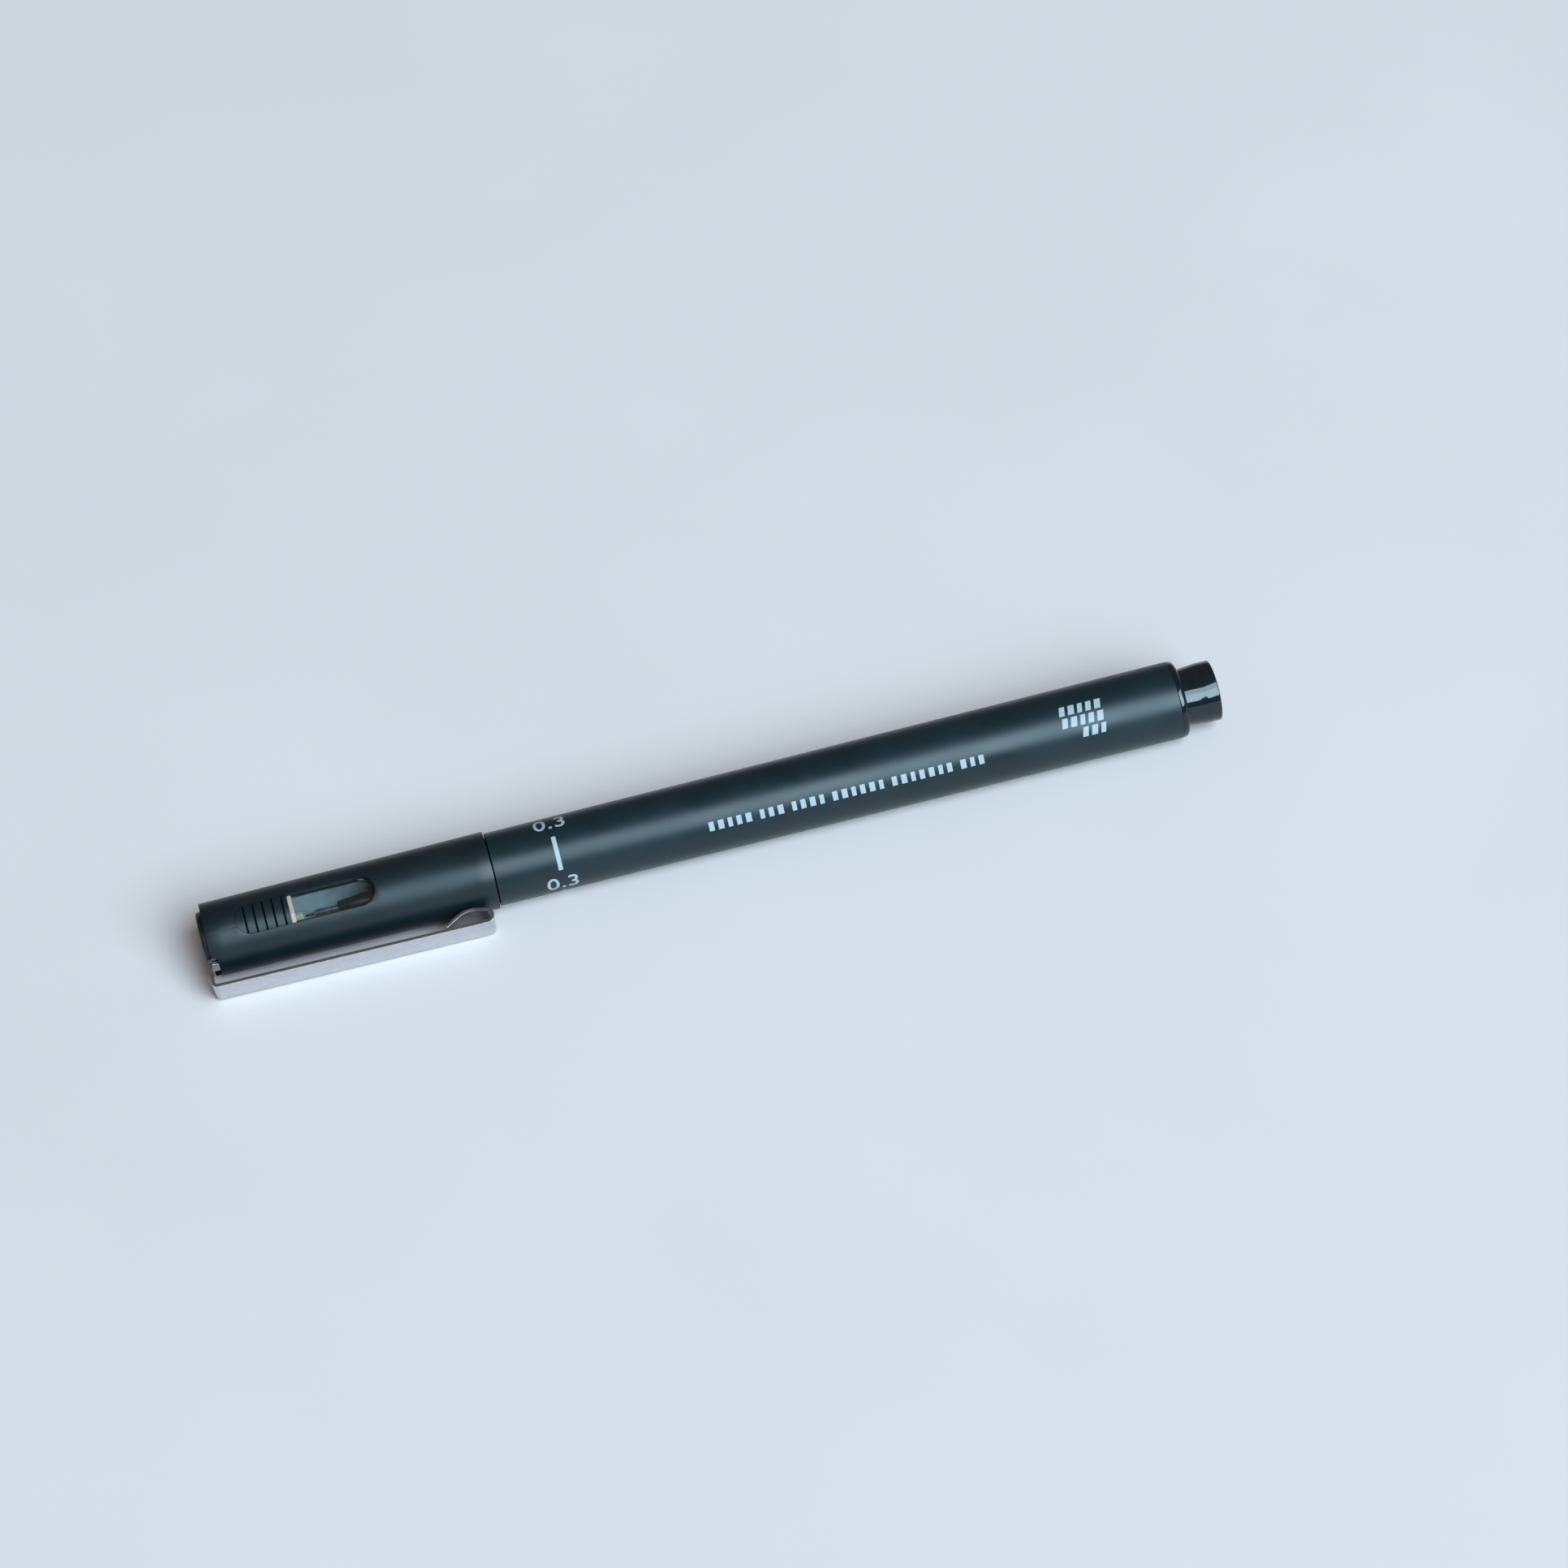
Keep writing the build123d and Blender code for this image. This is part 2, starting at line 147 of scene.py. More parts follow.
@dataclass
class Coat:
    """A material being made: its nodes, its shader and its object coordinates."""

    name: str
    material: Material = field(init=False)
    shader: Node = field(init=False)
    output: Node = field(init=False)
    spot: NodeSocket = field(init=False)

    def __post_init__(self) -> None:
        """Makes an empty material with one shader."""
        self.material = bpy.data.materials.new(self.name)
        self.material.use_nodes = True
        self.material.node_tree.nodes.clear()
        self.shader = self.add("BsdfPrincipled")
        self.output = self.add("OutputMaterial", Surface=self.shader)
        self.spot = self.add("TexCoord").outputs["Object"]

    def add(self, kind: str, **settings: Any) -> Node:
        """Adds a node with its settings and links.

        Args:
            kind: the node's type after "ShaderNode".
            **settings: properties first, then inputs, with _ for a space. A socket or a node is
                linked, a node by its first output, and a list of them fills the inputs of one
                name. "stops" gives a ramp's positions and colours.

        Returns:
            The new node.
        """
        node = self.material.node_tree.nodes.new("ShaderNode" + kind)
        self.connect(node, **settings)
        return node

    def connect(self, node: Node, **settings: Any) -> None:
        """Gives a node settings and links, as add does.

        Args:
            node: the node.
            **settings: as add takes them.
        """
        for name, value in settings.items():
            if name == "stops":
                points = node.color_ramp.elements
                while len(points) < len(value):
                    points.new(0.5)
                for point, (point.position, colour) in zip(points, value):
                    point.color = linear(colour)
                continue
            wanted = name.replace("_", " ")
            inputs = [entry for entry in node.inputs if entry.enabled and entry.name == wanted]
            if not inputs:
                setattr(node, name, value)
                continue
            for entry, given in zip(inputs, value if isinstance(value, list) else [value]):
                source = given.outputs[0] if isinstance(given, Node) else given
                if isinstance(source, NodeSocket):
                    self.material.node_tree.links.new(source, entry)
                else:
                    entry.default_value = source


@dataclass(frozen=True)
class Noise:
    """A noise pattern on object coordinates."""

    size_mm: float  # of its features
    detail: float
    roughness: float = 0.5  # how strong its finest parts are
    stretch: Triple = (1.0, 1.0, 1.0)  # below 1 draws it out along that axis


@dataclass(frozen=True)
class Polish:
    """The shader's roughness, which runs over a noise; without one it follows the clouds."""

    smooth: float
    rough: float
    span: Pair = (0.0, 1.0)
    noise: Optional[Noise] = None


@dataclass(frozen=True)
class Relief:
    """A fine bump over a noise; without one it follows the clouds."""

    strength: float
    depth_mm: float = 0.01
    noise: Optional[Noise] = None


@dataclass(frozen=True)
class Skin:
    """A finish: a shade that runs over clouds, with a polish and a relief.

    A span is the part of a noise's values over which the shade or the polish changes.
    """

    name: str
    dark: str = "#000000"
    light: str = "#ffffff"
    clouds: Noise = Noise(1.0, 4.0)
    shade_span: Pair = (0.3, 0.7)
    polish: Polish = Polish(0.4, 0.5)
    relief: Relief = Relief(0.2)
    optics: Optics = ()  # the shader's other inputs

    def make(self) -> Material:
        """Builds the material.

        Returns:
            The material.
        """
        coat = Coat(self.name)
        drawn = []
        for noise in (self.clouds, self.polish.noise, self.relief.noise):
            noise = noise or self.clouds
            spot = coat.add("Mapping", Vector=coat.spot, Scale=noise.stretch)
            drawn.append(coat.add("TexNoise", Vector=spot, Scale=per_mm(noise.size_mm),
                                  Detail=noise.detail, Roughness=noise.roughness))
        clouds, wear, grain = drawn
        shade = coat.add("ValToRGB", Fac=clouds,
                         stops=tuple(zip(self.shade_span, (self.dark, self.light))))
        low, high = self.polish.span
        polish = coat.add("MapRange", Value=wear, From_Min=low, From_Max=high,
                          To_Min=self.polish.smooth, To_Max=self.polish.rough)
        relief = coat.add("Bump", Height=grain, Strength=self.relief.strength,
                          Distance=metres(self.relief.depth_mm))
        coat.connect(coat.shader, Base_Color=shade, Roughness=polish, Normal=relief,
                     **dict(self.optics))
        self.complete(coat)
        return coat.material

    def complete(self, coat: Coat) -> None:
        """Adds what only this finish has."""


@dataclass(frozen=True)
class SparkGrainedPolypropylene(Skin):
    """Polypropylene moulded in a spark-eroded tool: black, with a fine even grain that spreads
    each reflection into a soft band, and a few specks of dust."""

    dark: str = "#091d22"
    light: str = "#0f252b"
    clouds: Noise = Noise(7.0, 4.0)
    polish: Polish = Polish(0.35, 0.42, (0.3, 0.7))
    # The real grain is about 0.06 mm, too fine to show, so it is drawn coarser.
    relief: Relief = Relief(0.3, 0.012, Noise(0.14, 2.0))
    optics: Optics = (("IOR", 1.49),)
    dust: str = "#4c5658"
    dust_spacing_mm: float = 3.4
    dust_mm: float = 0.05

    def complete(self, coat: Coat) -> None:
        """Lays specks of dust over the shade.

        Args:
            coat: the material being made.
        """
        specks = coat.add("TexVoronoi", Vector=coat.spot, Scale=per_mm(self.dust_spacing_mm))
        radius = self.dust_mm / self.dust_spacing_mm
        dusty = coat.add("MapRange", Value=specks, From_Min=radius, From_Max=radius / 2)
        shade = coat.shader.inputs["Base Color"].links[0].from_socket
        colour = coat.add("Mix", data_type="RGBA", Factor=dusty, A=shade, B=linear(self.dust))
        coat.connect(coat.shader, Base_Color=colour.outputs[2])


@dataclass(frozen=True)
class PolishedMoulding(Skin):
    """ABS moulded in a polished tool: black and glossy, with the faint waviness of moulding
    and a few lengthwise scuffs from posting the cap."""

    dark: str = "#0a171a"
    light: str = "#101e21"
    clouds: Noise = Noise(1.4, 4.0)
    shade_span: Pair = (0.35, 0.75)
    polish: Polish = Polish(0.07, 0.16, (0.5, 0.75), Noise(0.5, 5.0, stretch=(0.25, 1.0, 1.0)))
    relief: Relief = Relief(0.1, 0.02, Noise(2.4, 1.0))
    optics: Optics = (("IOR", 1.53),)


@dataclass(frozen=True)
class SatinMoulding(Skin):
    """Polypropylene moulded in a fine-blasted tool: black with a low satin sheen."""

    dark: str = "#0b1011"
    light: str = "#151b1c"
    clouds: Noise = Noise(1.1, 4.0)
    shade_span: Pair = (0.35, 0.7)
    polish: Polish = Polish(0.28, 0.36, (0.3, 0.7))
    relief: Relief = Relief(0.25, 0.008, Noise(0.15, 2.0))
    optics: Optics = (("IOR", 1.49),)


@dataclass(frozen=True)
class RolledSteelStrip(Skin):
    """Stainless spring strip, rolled and tumbled bright: a soft mirror with faint lengthwise
    rolling lines and a few dull handling marks."""

    dark: str = "#b6b7ba"
    light: str = "#cacccf"
    clouds: Noise = Noise(0.9, 6.0, roughness=0.7)
    polish: Polish = Polish(0.16, 0.28, (0.45, 0.8))
    relief: Relief = Relief(0.15, 0.003, Noise(0.09, 3.0, stretch=(0.02, 1.0, 1.0)))
    optics: Optics = (("Metallic", 1.0),)


@dataclass(frozen=True)
class DrawnSteelTube(Skin):
    """Drawn stainless tube, ground round: bright, with fine rings from the grinding wheel."""

    dark: str = "#c4c3be"
    light: str = "#e0dfda"
    clouds: Noise = Noise(0.06, 2.0, stretch=(1.0, 0.03, 0.03))
    polish: Polish = Polish(0.16, 0.24, (0.4, 0.7))
    relief: Relief = Relief(0.15, 0.003)
    optics: Optics = (("Metallic", 1.0),)


@dataclass(frozen=True)
class ClearStyrene(Skin):
    """Clear polystyrene with a faint smoky tint: sharp reflections and a little moulding haze.

    The lamps shine through it, so that what is behind it is lit.
    """

    dark: str = "#c9d2d4"
    light: str = "#e3e9ea"
    clouds: Noise = Noise(1.6, 5.0)
    polish: Polish = Polish(0.03, 0.08, (0.3, 0.7))
    relief: Relief = Relief(0.1)
    optics: Optics = (("IOR", 1.59), ("Transmission_Weight", 1.0))

    def complete(self, coat: Coat) -> None:
        """Lets the lamps through.

        Args:
            coat: the material being made.
        """
        lamps = coat.add("LightPath").outputs["Is Shadow Ray"]
        through = coat.add("BsdfTransparent", Color=linear(self.light))
        clear = coat.add("MixShader", Fac=lamps, Shader=[coat.shader, through])
        coat.connect(coat.output, Surface=clear)


@dataclass(frozen=True)
class MouldedElastomer(Skin):
    """Cream thermoplastic elastomer: dull, with a slightly waxy glow and a fine tooth."""

    dark: str = "#b59d88"
    light: str = "#c7b19b"
    clouds: Noise = Noise(0.7, 4.0)
    polish: Polish = Polish(0.5, 0.65)
    relief: Relief = Relief(0.3, noise=Noise(0.12, 2.0))
    optics: Optics = (("Subsurface_Weight", 0.15), ("Subsurface_Scale", metres(0.4)))


@dataclass(frozen=True)
class NaturalPolyethylene(Skin):
    """Undyed polyethylene: milky, waxy and a little translucent."""

    dark: str = "#8c9496"
    light: str = "#9ca3a5"
    clouds: Noise = Noise(1.3, 4.0)
    polish: Polish = Polish(0.36, 0.5)
    relief: Relief = Relief(0.2, noise=Noise(0.3, 2.0))
    optics: Optics = (("IOR", 1.51), ("Subsurface_Weight", 0.1), ("Subsurface_Scale", metres(0.5)))


@dataclass(frozen=True)
class PadPrintedInk(Skin):
    """Two-part white ink laid by a silicone pad: an even film, thinner in fine pin-holes."""

    dark: str = "#98a4aa"
    light: str = "#a8b4ba"
    clouds: Noise = Noise(0.22, 4.0, roughness=0.65)
    shade_span: Pair = (0.28, 0.5)
    polish: Polish = Polish(0.55, 0.42)
    relief: Relief = Relief(0.25, 0.005)


@dataclass(frozen=True)
class BondedFibre(Skin):
    """Bundled synthetic fibre soaked in ink: near black, streaked along the pen."""

    dark: str = "#0d1011"
    light: str = "#282c2f"
    clouds: Noise = Noise(0.05, 3.0, stretch=(0.04, 1.0, 1.0))
    shade_span: Pair = (0.35, 0.7)
    polish: Polish = Polish(0.45, 0.75)
    relief: Relief = Relief(0.5, 0.02)
    optics: Optics = (("Sheen_Weight", 0.2),)


@dataclass(frozen=True)
class WrappingFilm(Skin):
    """Thin glossy polypropylene film with lengthwise creases, pale over the dark fibre."""

    dark: str = "#6f767b"
    light: str = "#9aa1a5"
    clouds: Noise = Noise(3.0, 4.0, stretch=(0.3, 1.0, 1.0))
    shade_span: Pair = (0.35, 0.65)
    polish: Polish = Polish(0.12, 0.3)
    relief: Relief = Relief(0.3, 0.05)


@dataclass(frozen=True)
class TableTop(Skin):
    """Smooth matt laminate of the studio table: pale and warm, with a barely visible tooth."""

    dark: str = "#eedcd9"
    light: str = "#f1dfdc"
    clouds: Noise = Noise(60.0, 3.0)
    polish: Polish = Polish(0.6, 0.7)
    relief: Relief = Relief(0.1, noise=Noise(0.5, 3.0))
    optics: Optics = (("Specular_IOR_Level", 0.2),)


class Finish(Enum):
    """The record's material slots, each with its finish."""

    cap_plastic = SparkGrainedPolypropylene("grained_polypropylene_cap", "#07171b", "#0c1e23",
                                            polish=Polish(0.38, 0.45, (0.3, 0.7)))
    barrel_plastic = SparkGrainedPolypropylene("grained_polypropylene_barrel")
    print_ink = PadPrintedInk("pad_printed_white_ink")
    plug_plastic = PolishedMoulding("polished_abs_plug")
    nose_plastic = SatinMoulding("satin_polypropylene_nose")
    pane_clear = ClearStyrene("clear_styrene_pane")
    seal_rubber = MouldedElastomer("cream_elastomer_seal")
    liner_plastic = NaturalPolyethylene("natural_polyethylene_liner")
    clip_steel = RolledSteelStrip("bright_spring_steel")
    sleeve_steel = DrawnSteelTube("drawn_stainless_sleeve")
    nib_fibre = BondedFibre("inked_nib_fibre",
                            clouds=Noise(0.03, 3.0, stretch=(0.04, 1.0, 1.0)))
    feed_fibre = BondedFibre("inked_feed_fibre")
    film_plastic = WrappingFilm("wrapping_film")

    @property
    def material(self) -> Material:
        """The finish's material, made once."""
        return bpy.data.materials.get(self.value.name) or self.value.make()


# ---- the bench: modelling steps ----


def deselect() -> None:
    """Leaves edit mode and deselects everything."""
    if bpy.context.object and bpy.context.object.mode != "OBJECT":
        bpy.ops.object.mode_set(mode="OBJECT")
    bpy.ops.object.select_all(action="DESELECT")


def pick(piece: Object) -> None:
    """Makes a piece the only selected one, and active.

    Args:
        piece: the piece.
    """
    deselect()
    piece.select_set(True)
    bpy.context.view_layer.objects.active = piece


def select_parts(piece: Object, mode: str, wanted: Callable[[Any], bool]) -> None:
    """In edit mode, selects the vertices, edges or faces that a test accepts.

    Args:
        piece: the piece in edit mode.
        mode: "VERT", "EDGE" or "FACE".
        wanted: the test, which gets each mesh part.
    """
    bpy.ops.mesh.select_mode(type=mode)
    bpy.ops.mesh.select_all(action="DESELECT")
    bpy.ops.object.mode_set(mode="OBJECT")
    parts = {"VERT": piece.data.vertices, "EDGE": piece.data.edges, "FACE": piece.data.polygons}
    for part in parts[mode]:
        part.select = wanted(part)
    bpy.ops.object.mode_set(mode="EDIT")


def round_uprights(piece: Object, radius: float, segments: int) -> None:
    """Rounds the edges that run along a block's own Z and stays in edit mode.

    Args:
        piece: the block.
        radius: the radius of the rounds.
        segments: flats in each round.
    """
    bpy.ops.object.mode_set(mode="EDIT")
    points = piece.data.vertices

    def upright(edge: MeshEdge) -> bool:
        """Whether an edge runs along Z."""
        run = points[edge.vertices[1]].co - points[edge.vertices[0]].co
        return abs(run.z) > abs(run.x) + abs(run.y)

    select_parts(piece, "EDGE", upright)
    bpy.ops.mesh.bevel(offset=metres(radius), segments=segments, affect="EDGES")


def resized(piece: Object, x: float, y: float, z: float = 1.0) -> Object:
    """Sizes a primitive along its own axes and returns it.

    Args:
        piece: the primitive.
        x: its scale along X.
        y: its scale along Y.
        z: its scale along Z.

    Returns:
        The piece.
    """
    pick(piece)
    piece.scale = (x, y, z)
    bpy.ops.object.transform_apply(location=False, rotation=False, scale=True)
    return piece


def block(at: float, radius: float, elevation: float,
          length: float, width: float, height: float) -> Object:
    """A block across the pen's wall.

    Args:
        at: the station of its middle.
        radius: the radius of its middle.
        elevation: the elevation that it faces.
        length: its size along the pen.
        width: its size round the pen.
        height: its size outwards.

    Returns:
        The block, with its own Z pointing outwards.
    """
    deselect()
    bpy.ops.mesh.primitive_cube_add(
        size=1.0, location=LINE.place(at, radius, elevation),
        rotation=LINE.facing(elevation).to_euler())
    return resized(bpy.context.object, metres(length), metres(width), metres(height))


def swing(piece: Object, elevation: float) -> None:
    """Turns a piece that was modelled facing up about the pen's axis, to an elevation."""
    centre = LINE.place(0)
    piece.matrix_world = Matrix.Translation(centre) @ LINE.facing(elevation) @ Matrix.Translation(-centre)


def modify(piece: Object, kind: str, **settings: Any) -> None:
    """Adds a modifier with its settings and applies it.

    Args:
        piece: the piece.
        kind: the modifier's type.
        **settings: the modifier's properties.
    """
    pick(piece)
    modifier = piece.modifiers.new(kind.lower(), kind)
    for name, value in settings.items():
        setattr(modifier, name, value)
    bpy.ops.object.modifier_apply(modifier=modifier.name)


def soften(piece: Object, width: float, segments: int = 3, degrees: float = 28.0) -> None:
    """Rounds the piece's edges that turn by more than an angle."""
    modify(piece, "BEVEL", width=metres(width), segments=segments, limit_method="ANGLE",
           angle_limit=math.radians(degrees), use_clamp_overlap=True)


def turn(name: str, stations: Sequence[Station], segments: int = 192) -> Object:
    """Turns a piece about the pen's axis.

    Args:
        name: the piece's name.
        stations: its half section as (at, radius). It starts and stops on the axis, or is
            closed back to its first point.
        segments: flats round the piece.

    Returns:
        The closed piece.
    """
    deselect()
    (last_at, first_r), *others = stations
    if first_r:
        others.append(stations[0])
    last_r = first_r or others[0][1]
    bpy.ops.mesh.primitive_circle_add(
        vertices=segments, radius=metres(last_r), location=LINE.place(last_at),
        rotation=(0, math.pi / 2, 0))
    piece = bpy.context.object
    piece.name = name
    bpy.ops.object.mode_set(mode="EDIT")
    bpy.ops.mesh.select_mode(type="VERT")
    bpy.ops.mesh.select_all(action="SELECT")
    for at, radius in others:
        bpy.ops.mesh.extrude_region_move(
            TRANSFORM_OT_translate={"value": (metres(at - last_at), 0, 0)})
        if radius:
            scale = radius / last_r
            bpy.ops.transform.resize(value=(1, scale, scale), center_override=LINE.place(at))
        else:
            bpy.ops.mesh.merge(type="CENTER")
        last_at, last_r = at, radius
    if not first_r:
        select_parts(piece, "VERT", lambda point: point.index < segments)
        bpy.ops.mesh.merge(type="CENTER")
    close(piece)
    return piece


def arc(at: float, radius: float, bend: float, start: float, stop: float) -> list[Station]:
    """Stations round a corner, in steps under 20 degrees.

    Args:
        at: the station of the corner's centre.
        radius: the radius of the corner's centre.
        bend: the corner's own radius.
        start: the first direction from the centre, in degrees from +at towards +radius.
        stop: the last direction.

    Returns:
        The stations.
    """
    steps = math.ceil(abs(stop - start) / 20.0)
    angles = [math.radians(start + (stop - start) * step / steps) for step in range(steps + 1)]
    return [(at + bend * math.cos(angle), radius + bend * math.sin(angle)) for angle in angles]


def copied(piece: Object, name: str) -> Object:
    """A copy of a piece with its own mesh.

    Args:
        piece: the piece.
        name: the copy's name.

    Returns:
        The copy.
    """
    copy = piece.copy()
    copy.data = piece.data.copy()
    copy.name = name
    bpy.context.collection.objects.link(copy)
    return copy


def close(piece: Object) -> None:
    """In edit mode, merges seams and poles, points the faces outwards and goes to object mode.

    Args:
        piece: the piece in edit mode.
    """
    bpy.ops.mesh.select_all(action="SELECT")
    bpy.ops.mesh.remove_doubles(threshold=metres(MERGE_MM))
    bpy.ops.mesh.normals_make_consistent(inside=False)
    bpy.ops.object.mode_set(mode="OBJECT")


def cut(piece: Object, tool: Object, operation: str = "DIFFERENCE") -> None:
    """Cuts a piece with another, which is used up."""
    modify(piece, "BOOLEAN", operation=operation, object=tool, solver="EXACT")
    bpy.data.objects.remove(tool)


def finish_piece(piece: Object, body: str, finish: Finish, *nodes: str) -> Object:
    """Settles a finished piece: place in its mesh, shading, finish, body and nodes.

    Args:
        piece: the piece.
        body: the body it rides on.
        finish: its finish, which names the record's slot.
        *nodes: the CAD nodes that it stands for.

    Returns:
        The piece.
    """
    pick(piece)
    bpy.ops.object.transform_apply()
    bpy.ops.object.shade_smooth_by_angle(angle=math.radians(SMOOTH_DEGREES))
    modify(piece, "WEIGHTED_NORMAL", keep_sharp=True)
    piece.data.name = piece.name
    piece.data.materials.clear()
    piece.data.materials.append(finish.material)
    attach(piece, body)
    if nodes:
        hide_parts(*nodes)
    log.info("%s: %d faces, rides on %s", piece.name, len(piece.data.polygons), body)
    return piece


# ---- cap ----


@dataclass
class Cap:
    """The pull-off cap: shell, end plug, the window's three fillings and the soft liner."""

    end_r: float = 4.9
    shell_rings: int = 18
    bore_r: float = 4.3
    socket_r: float = 4.45
    socket_start: float = 24.0
    lead_in_width: float = 0.15  # the chamfer inside the mouth
    lead_in_length: float = 0.3
    shell_edge: float = 0.07
    disc_r: float = 3.9
    disc_edge: float = 0.4
    plug_edge: float = 0.05
    gate_mark_r: float = 0.6
    gate_mark_depth: float = 0.12
    gate_mark_edge: float = 0.05
    window_elevation: float = 65.4
    window_start: float = 4.8
    window_stop: float = 23.36
    window_width: float = 4.1
    window_joint: float = 0.045  # fine open line round the fillings
    rim_height: float = 4.5  # where the window's rim starts to slope in
    rim_slope: float = 0.75
    rim_inset: float = 0.35
    window_floor: float = 2.5
    window_top: float = 6.0
    flush_drop: float = 0.05
    pane_height: float = 4.15  # the pane's flat top, above the pen's axis
    pane_thickness: float = 0.35
    pane_edge: float = 0.06
    planer_height: float = 3.0  # of the blocks that cut the pane flat
    flange_gap: float = 0.03
    flange_width: float = 0.5
    flange_lap: float = 0.05  # how far the flange reaches over the pane's foot
    seal_drop: float = 0.4
    seal_tab: float = 1.0  # how far the edge reaches into the disc
    seal_edge: float = 0.05
    rib_crown: float = 0.8  # how much tighter the ribs are curved than the shell
    boss_r: float = 0.6
    boss_edge: float = 0.3
    notch_elevation: float = -21.0
    notch_width: float = 6.0
    notch_depth: float = 0.8
    notch_corner: float = 0.25
    notch_height: float = 3.0  # of its cutter
    pocket_r: float = 3.45  # floor of the pocket for the clip's tongue
    pocket_width: float = 5.2
    pocket_height: float = 2.0
    pocket_depth: float = 2.6
    groove_count: int = 5
    first_groove: float = 6.2
    groove_pitch: float = 1.27
    groove_width: float = 0.26
    groove_depth: float = 0.45
    insert_inside: float = 0.4  # how far the ribbed filling reaches into the bore
    pane_r: float = 3.75
    liner_bore_r: float = 3.35
    liner_mouth: float = 0.5  # the chamfer that leads the nose in
    liner_step: float = 0.4
    liner_edge: float = 0.08
    liner_opening: float = 0.55  # wider than the window, all round
    rim: float = LINE.span("cap_shell")[0]
    mouth: float = LINE.span("cap_shell")[1]
    mouth_r: float = LINE.widest("cap_shell")
    disc_start: float = LINE.span("seal_disc")[0]
    disc_stop: float = LINE.span("window_pane")[0]

    def outer_r(self, at: float) -> float:
        """The tapered shell's outside radius at a station."""
        along = (at - self.rim) / (self.mouth - self.rim)
        return self.end_r + along * (self.mouth_r - self.end_r)

    def window_block(self, grow: float, start: float, stop: float, slope: bool) -> Object:
        """A block of the window's round-ended outline, which reaches through the shell's wall.

        Args:
            grow: how much larger than the window it is, all round.
            start: where it is cut off square, if that is inside the outline.
            stop: the same, towards the mouth.
            slope: whether it narrows inwards as the window's rim does.

        Returns:
            The block.
        """
        width = self.window_width + 2 * grow
        bottom = self.rim_height if slope else self.window_floor
        slot = block((self.window_start + self.window_stop) / 2, (bottom + self.window_top) / 2,
                     self.window_elevation, self.window_stop - self.window_start + 2 * grow, width,
                     self.window_top - bottom)
        round_uprights(slot, width * 0.4999, segments=20)
        bpy.ops.mesh.select_all(action="SELECT")
        bpy.ops.mesh.remove_doubles(threshold=metres(MERGE_MM))
        if slope:
            inwards = LINE.place(0, 0, self.window_elevation) - LINE.place(0, 1, self.window_elevation)
            select_parts(slot, "FACE", lambda face: face.normal.z < -0.9)
            bpy.ops.mesh.inset(thickness=metres(self.rim_inset))
            bpy.ops.transform.translate(value=inwards * self.rim_slope)
            left = self.rim_height - self.rim_slope - self.window_floor
            bpy.ops.mesh.extrude_region_move(TRANSFORM_OT_translate={"value": inwards * left})
        for at, keeps_mouth_side in ((start, True), (stop, False)):
            if self.window_start - grow < at < self.window_stop + grow:
                bpy.ops.mesh.select_all(action="SELECT")
                bpy.ops.mesh.bisect(plane_co=LINE.place(at), plane_no=(1, 0, 0), use_fill=True,
                                    clear_inner=keeps_mouth_side, clear_outer=not keeps_mouth_side)
        close(slot)
        return slot

    def filling(self, name: str, stations: Sequence[Station], start: float, stop: float,
                crown: float = 0.0) -> Object:
        """A turned band, cut to the window's outline between two stations.

        Args:
            name: the piece's name.
            stations: the band's half section.
            start: where it starts.
            stop: where it stops.
            crown: how much smaller its radius is made while its middle stays where it is.

        Returns:
            The filling.
        """
        piece = turn(name, [(at, radius - crown) for at, radius in stations], segments=256)
        piece.location += LINE.place(0, crown, self.window_elevation) - LINE.place(0)
        cut(piece, self.window_block(-self.window_joint, start, stop, slope=True), "INTERSECT")
        return piece

    def shell(self) -> Object:
        """The tapered shell with its window, its rim notch and its stepped bore.

        Returns:
            The shell.
        """
        pitch = (self.mouth - self.rim) / self.shell_rings
        lengthwise = [self.rim + ring * pitch for ring in range(1, self.shell_rings)]
        piece = turn("cap_shell_moulding", [
            (self.rim, self.bore_r), (self.rim, self.end_r),
            *[(at, self.outer_r(at)) for at in lengthwise],
            (self.mouth, self.mouth_r), (self.mouth, self.socket_r + self.lead_in_width),
            (self.mouth - self.lead_in_length, self.socket_r), (self.socket_start, self.socket_r),
            (self.socket_start, self.bore_r)], segments=256)
        cut(piece, self.window_block(0.0, 0.0, self.mouth, slope=True))
        notch = block(self.rim, self.bore_r, self.notch_elevation,
                      2 * self.notch_depth, self.notch_width, self.notch_height)
        round_uprights(notch, self.notch_corner, segments=4)
        bpy.ops.object.mode_set(mode="OBJECT")
        cut(piece, notch)
        soften(piece, self.shell_edge, degrees=35)
        return finish_piece(piece, "cap", Finish.cap_plastic, "cap_shell")

    def end_plug(self) -> Object:
        """The end plug: a small domed disc with a gate mark, and the plug behind it.

        Returns:
            The plug.
        """
        plug_stop = LINE.span("cap_end_plug")[1]
        piece = turn("cap_end_plug_moulding", [
            (self.gate_mark_depth, 0),
            (self.gate_mark_depth, self.gate_mark_r - self.gate_mark_edge),
            (0.0, self.gate_mark_r + self.gate_mark_edge),
            *arc(self.disc_edge, self.disc_r - self.disc_edge, self.disc_edge, 180, 90),
            (self.rim, self.disc_r), (self.rim + self.plug_edge, self.bore_r - FIT),
            (plug_stop, self.bore_r - FIT), (plug_stop, 0)])
        soften(piece, self.plug_edge)
        cut(piece, block(0.0, self.pocket_r + self.pocket_height / 2, self.notch_elevation,
                         2 * self.pocket_depth, self.pocket_width, self.pocket_height))
        return finish_piece(piece, "cap", Finish.cap_plastic, "cap_end_plug")

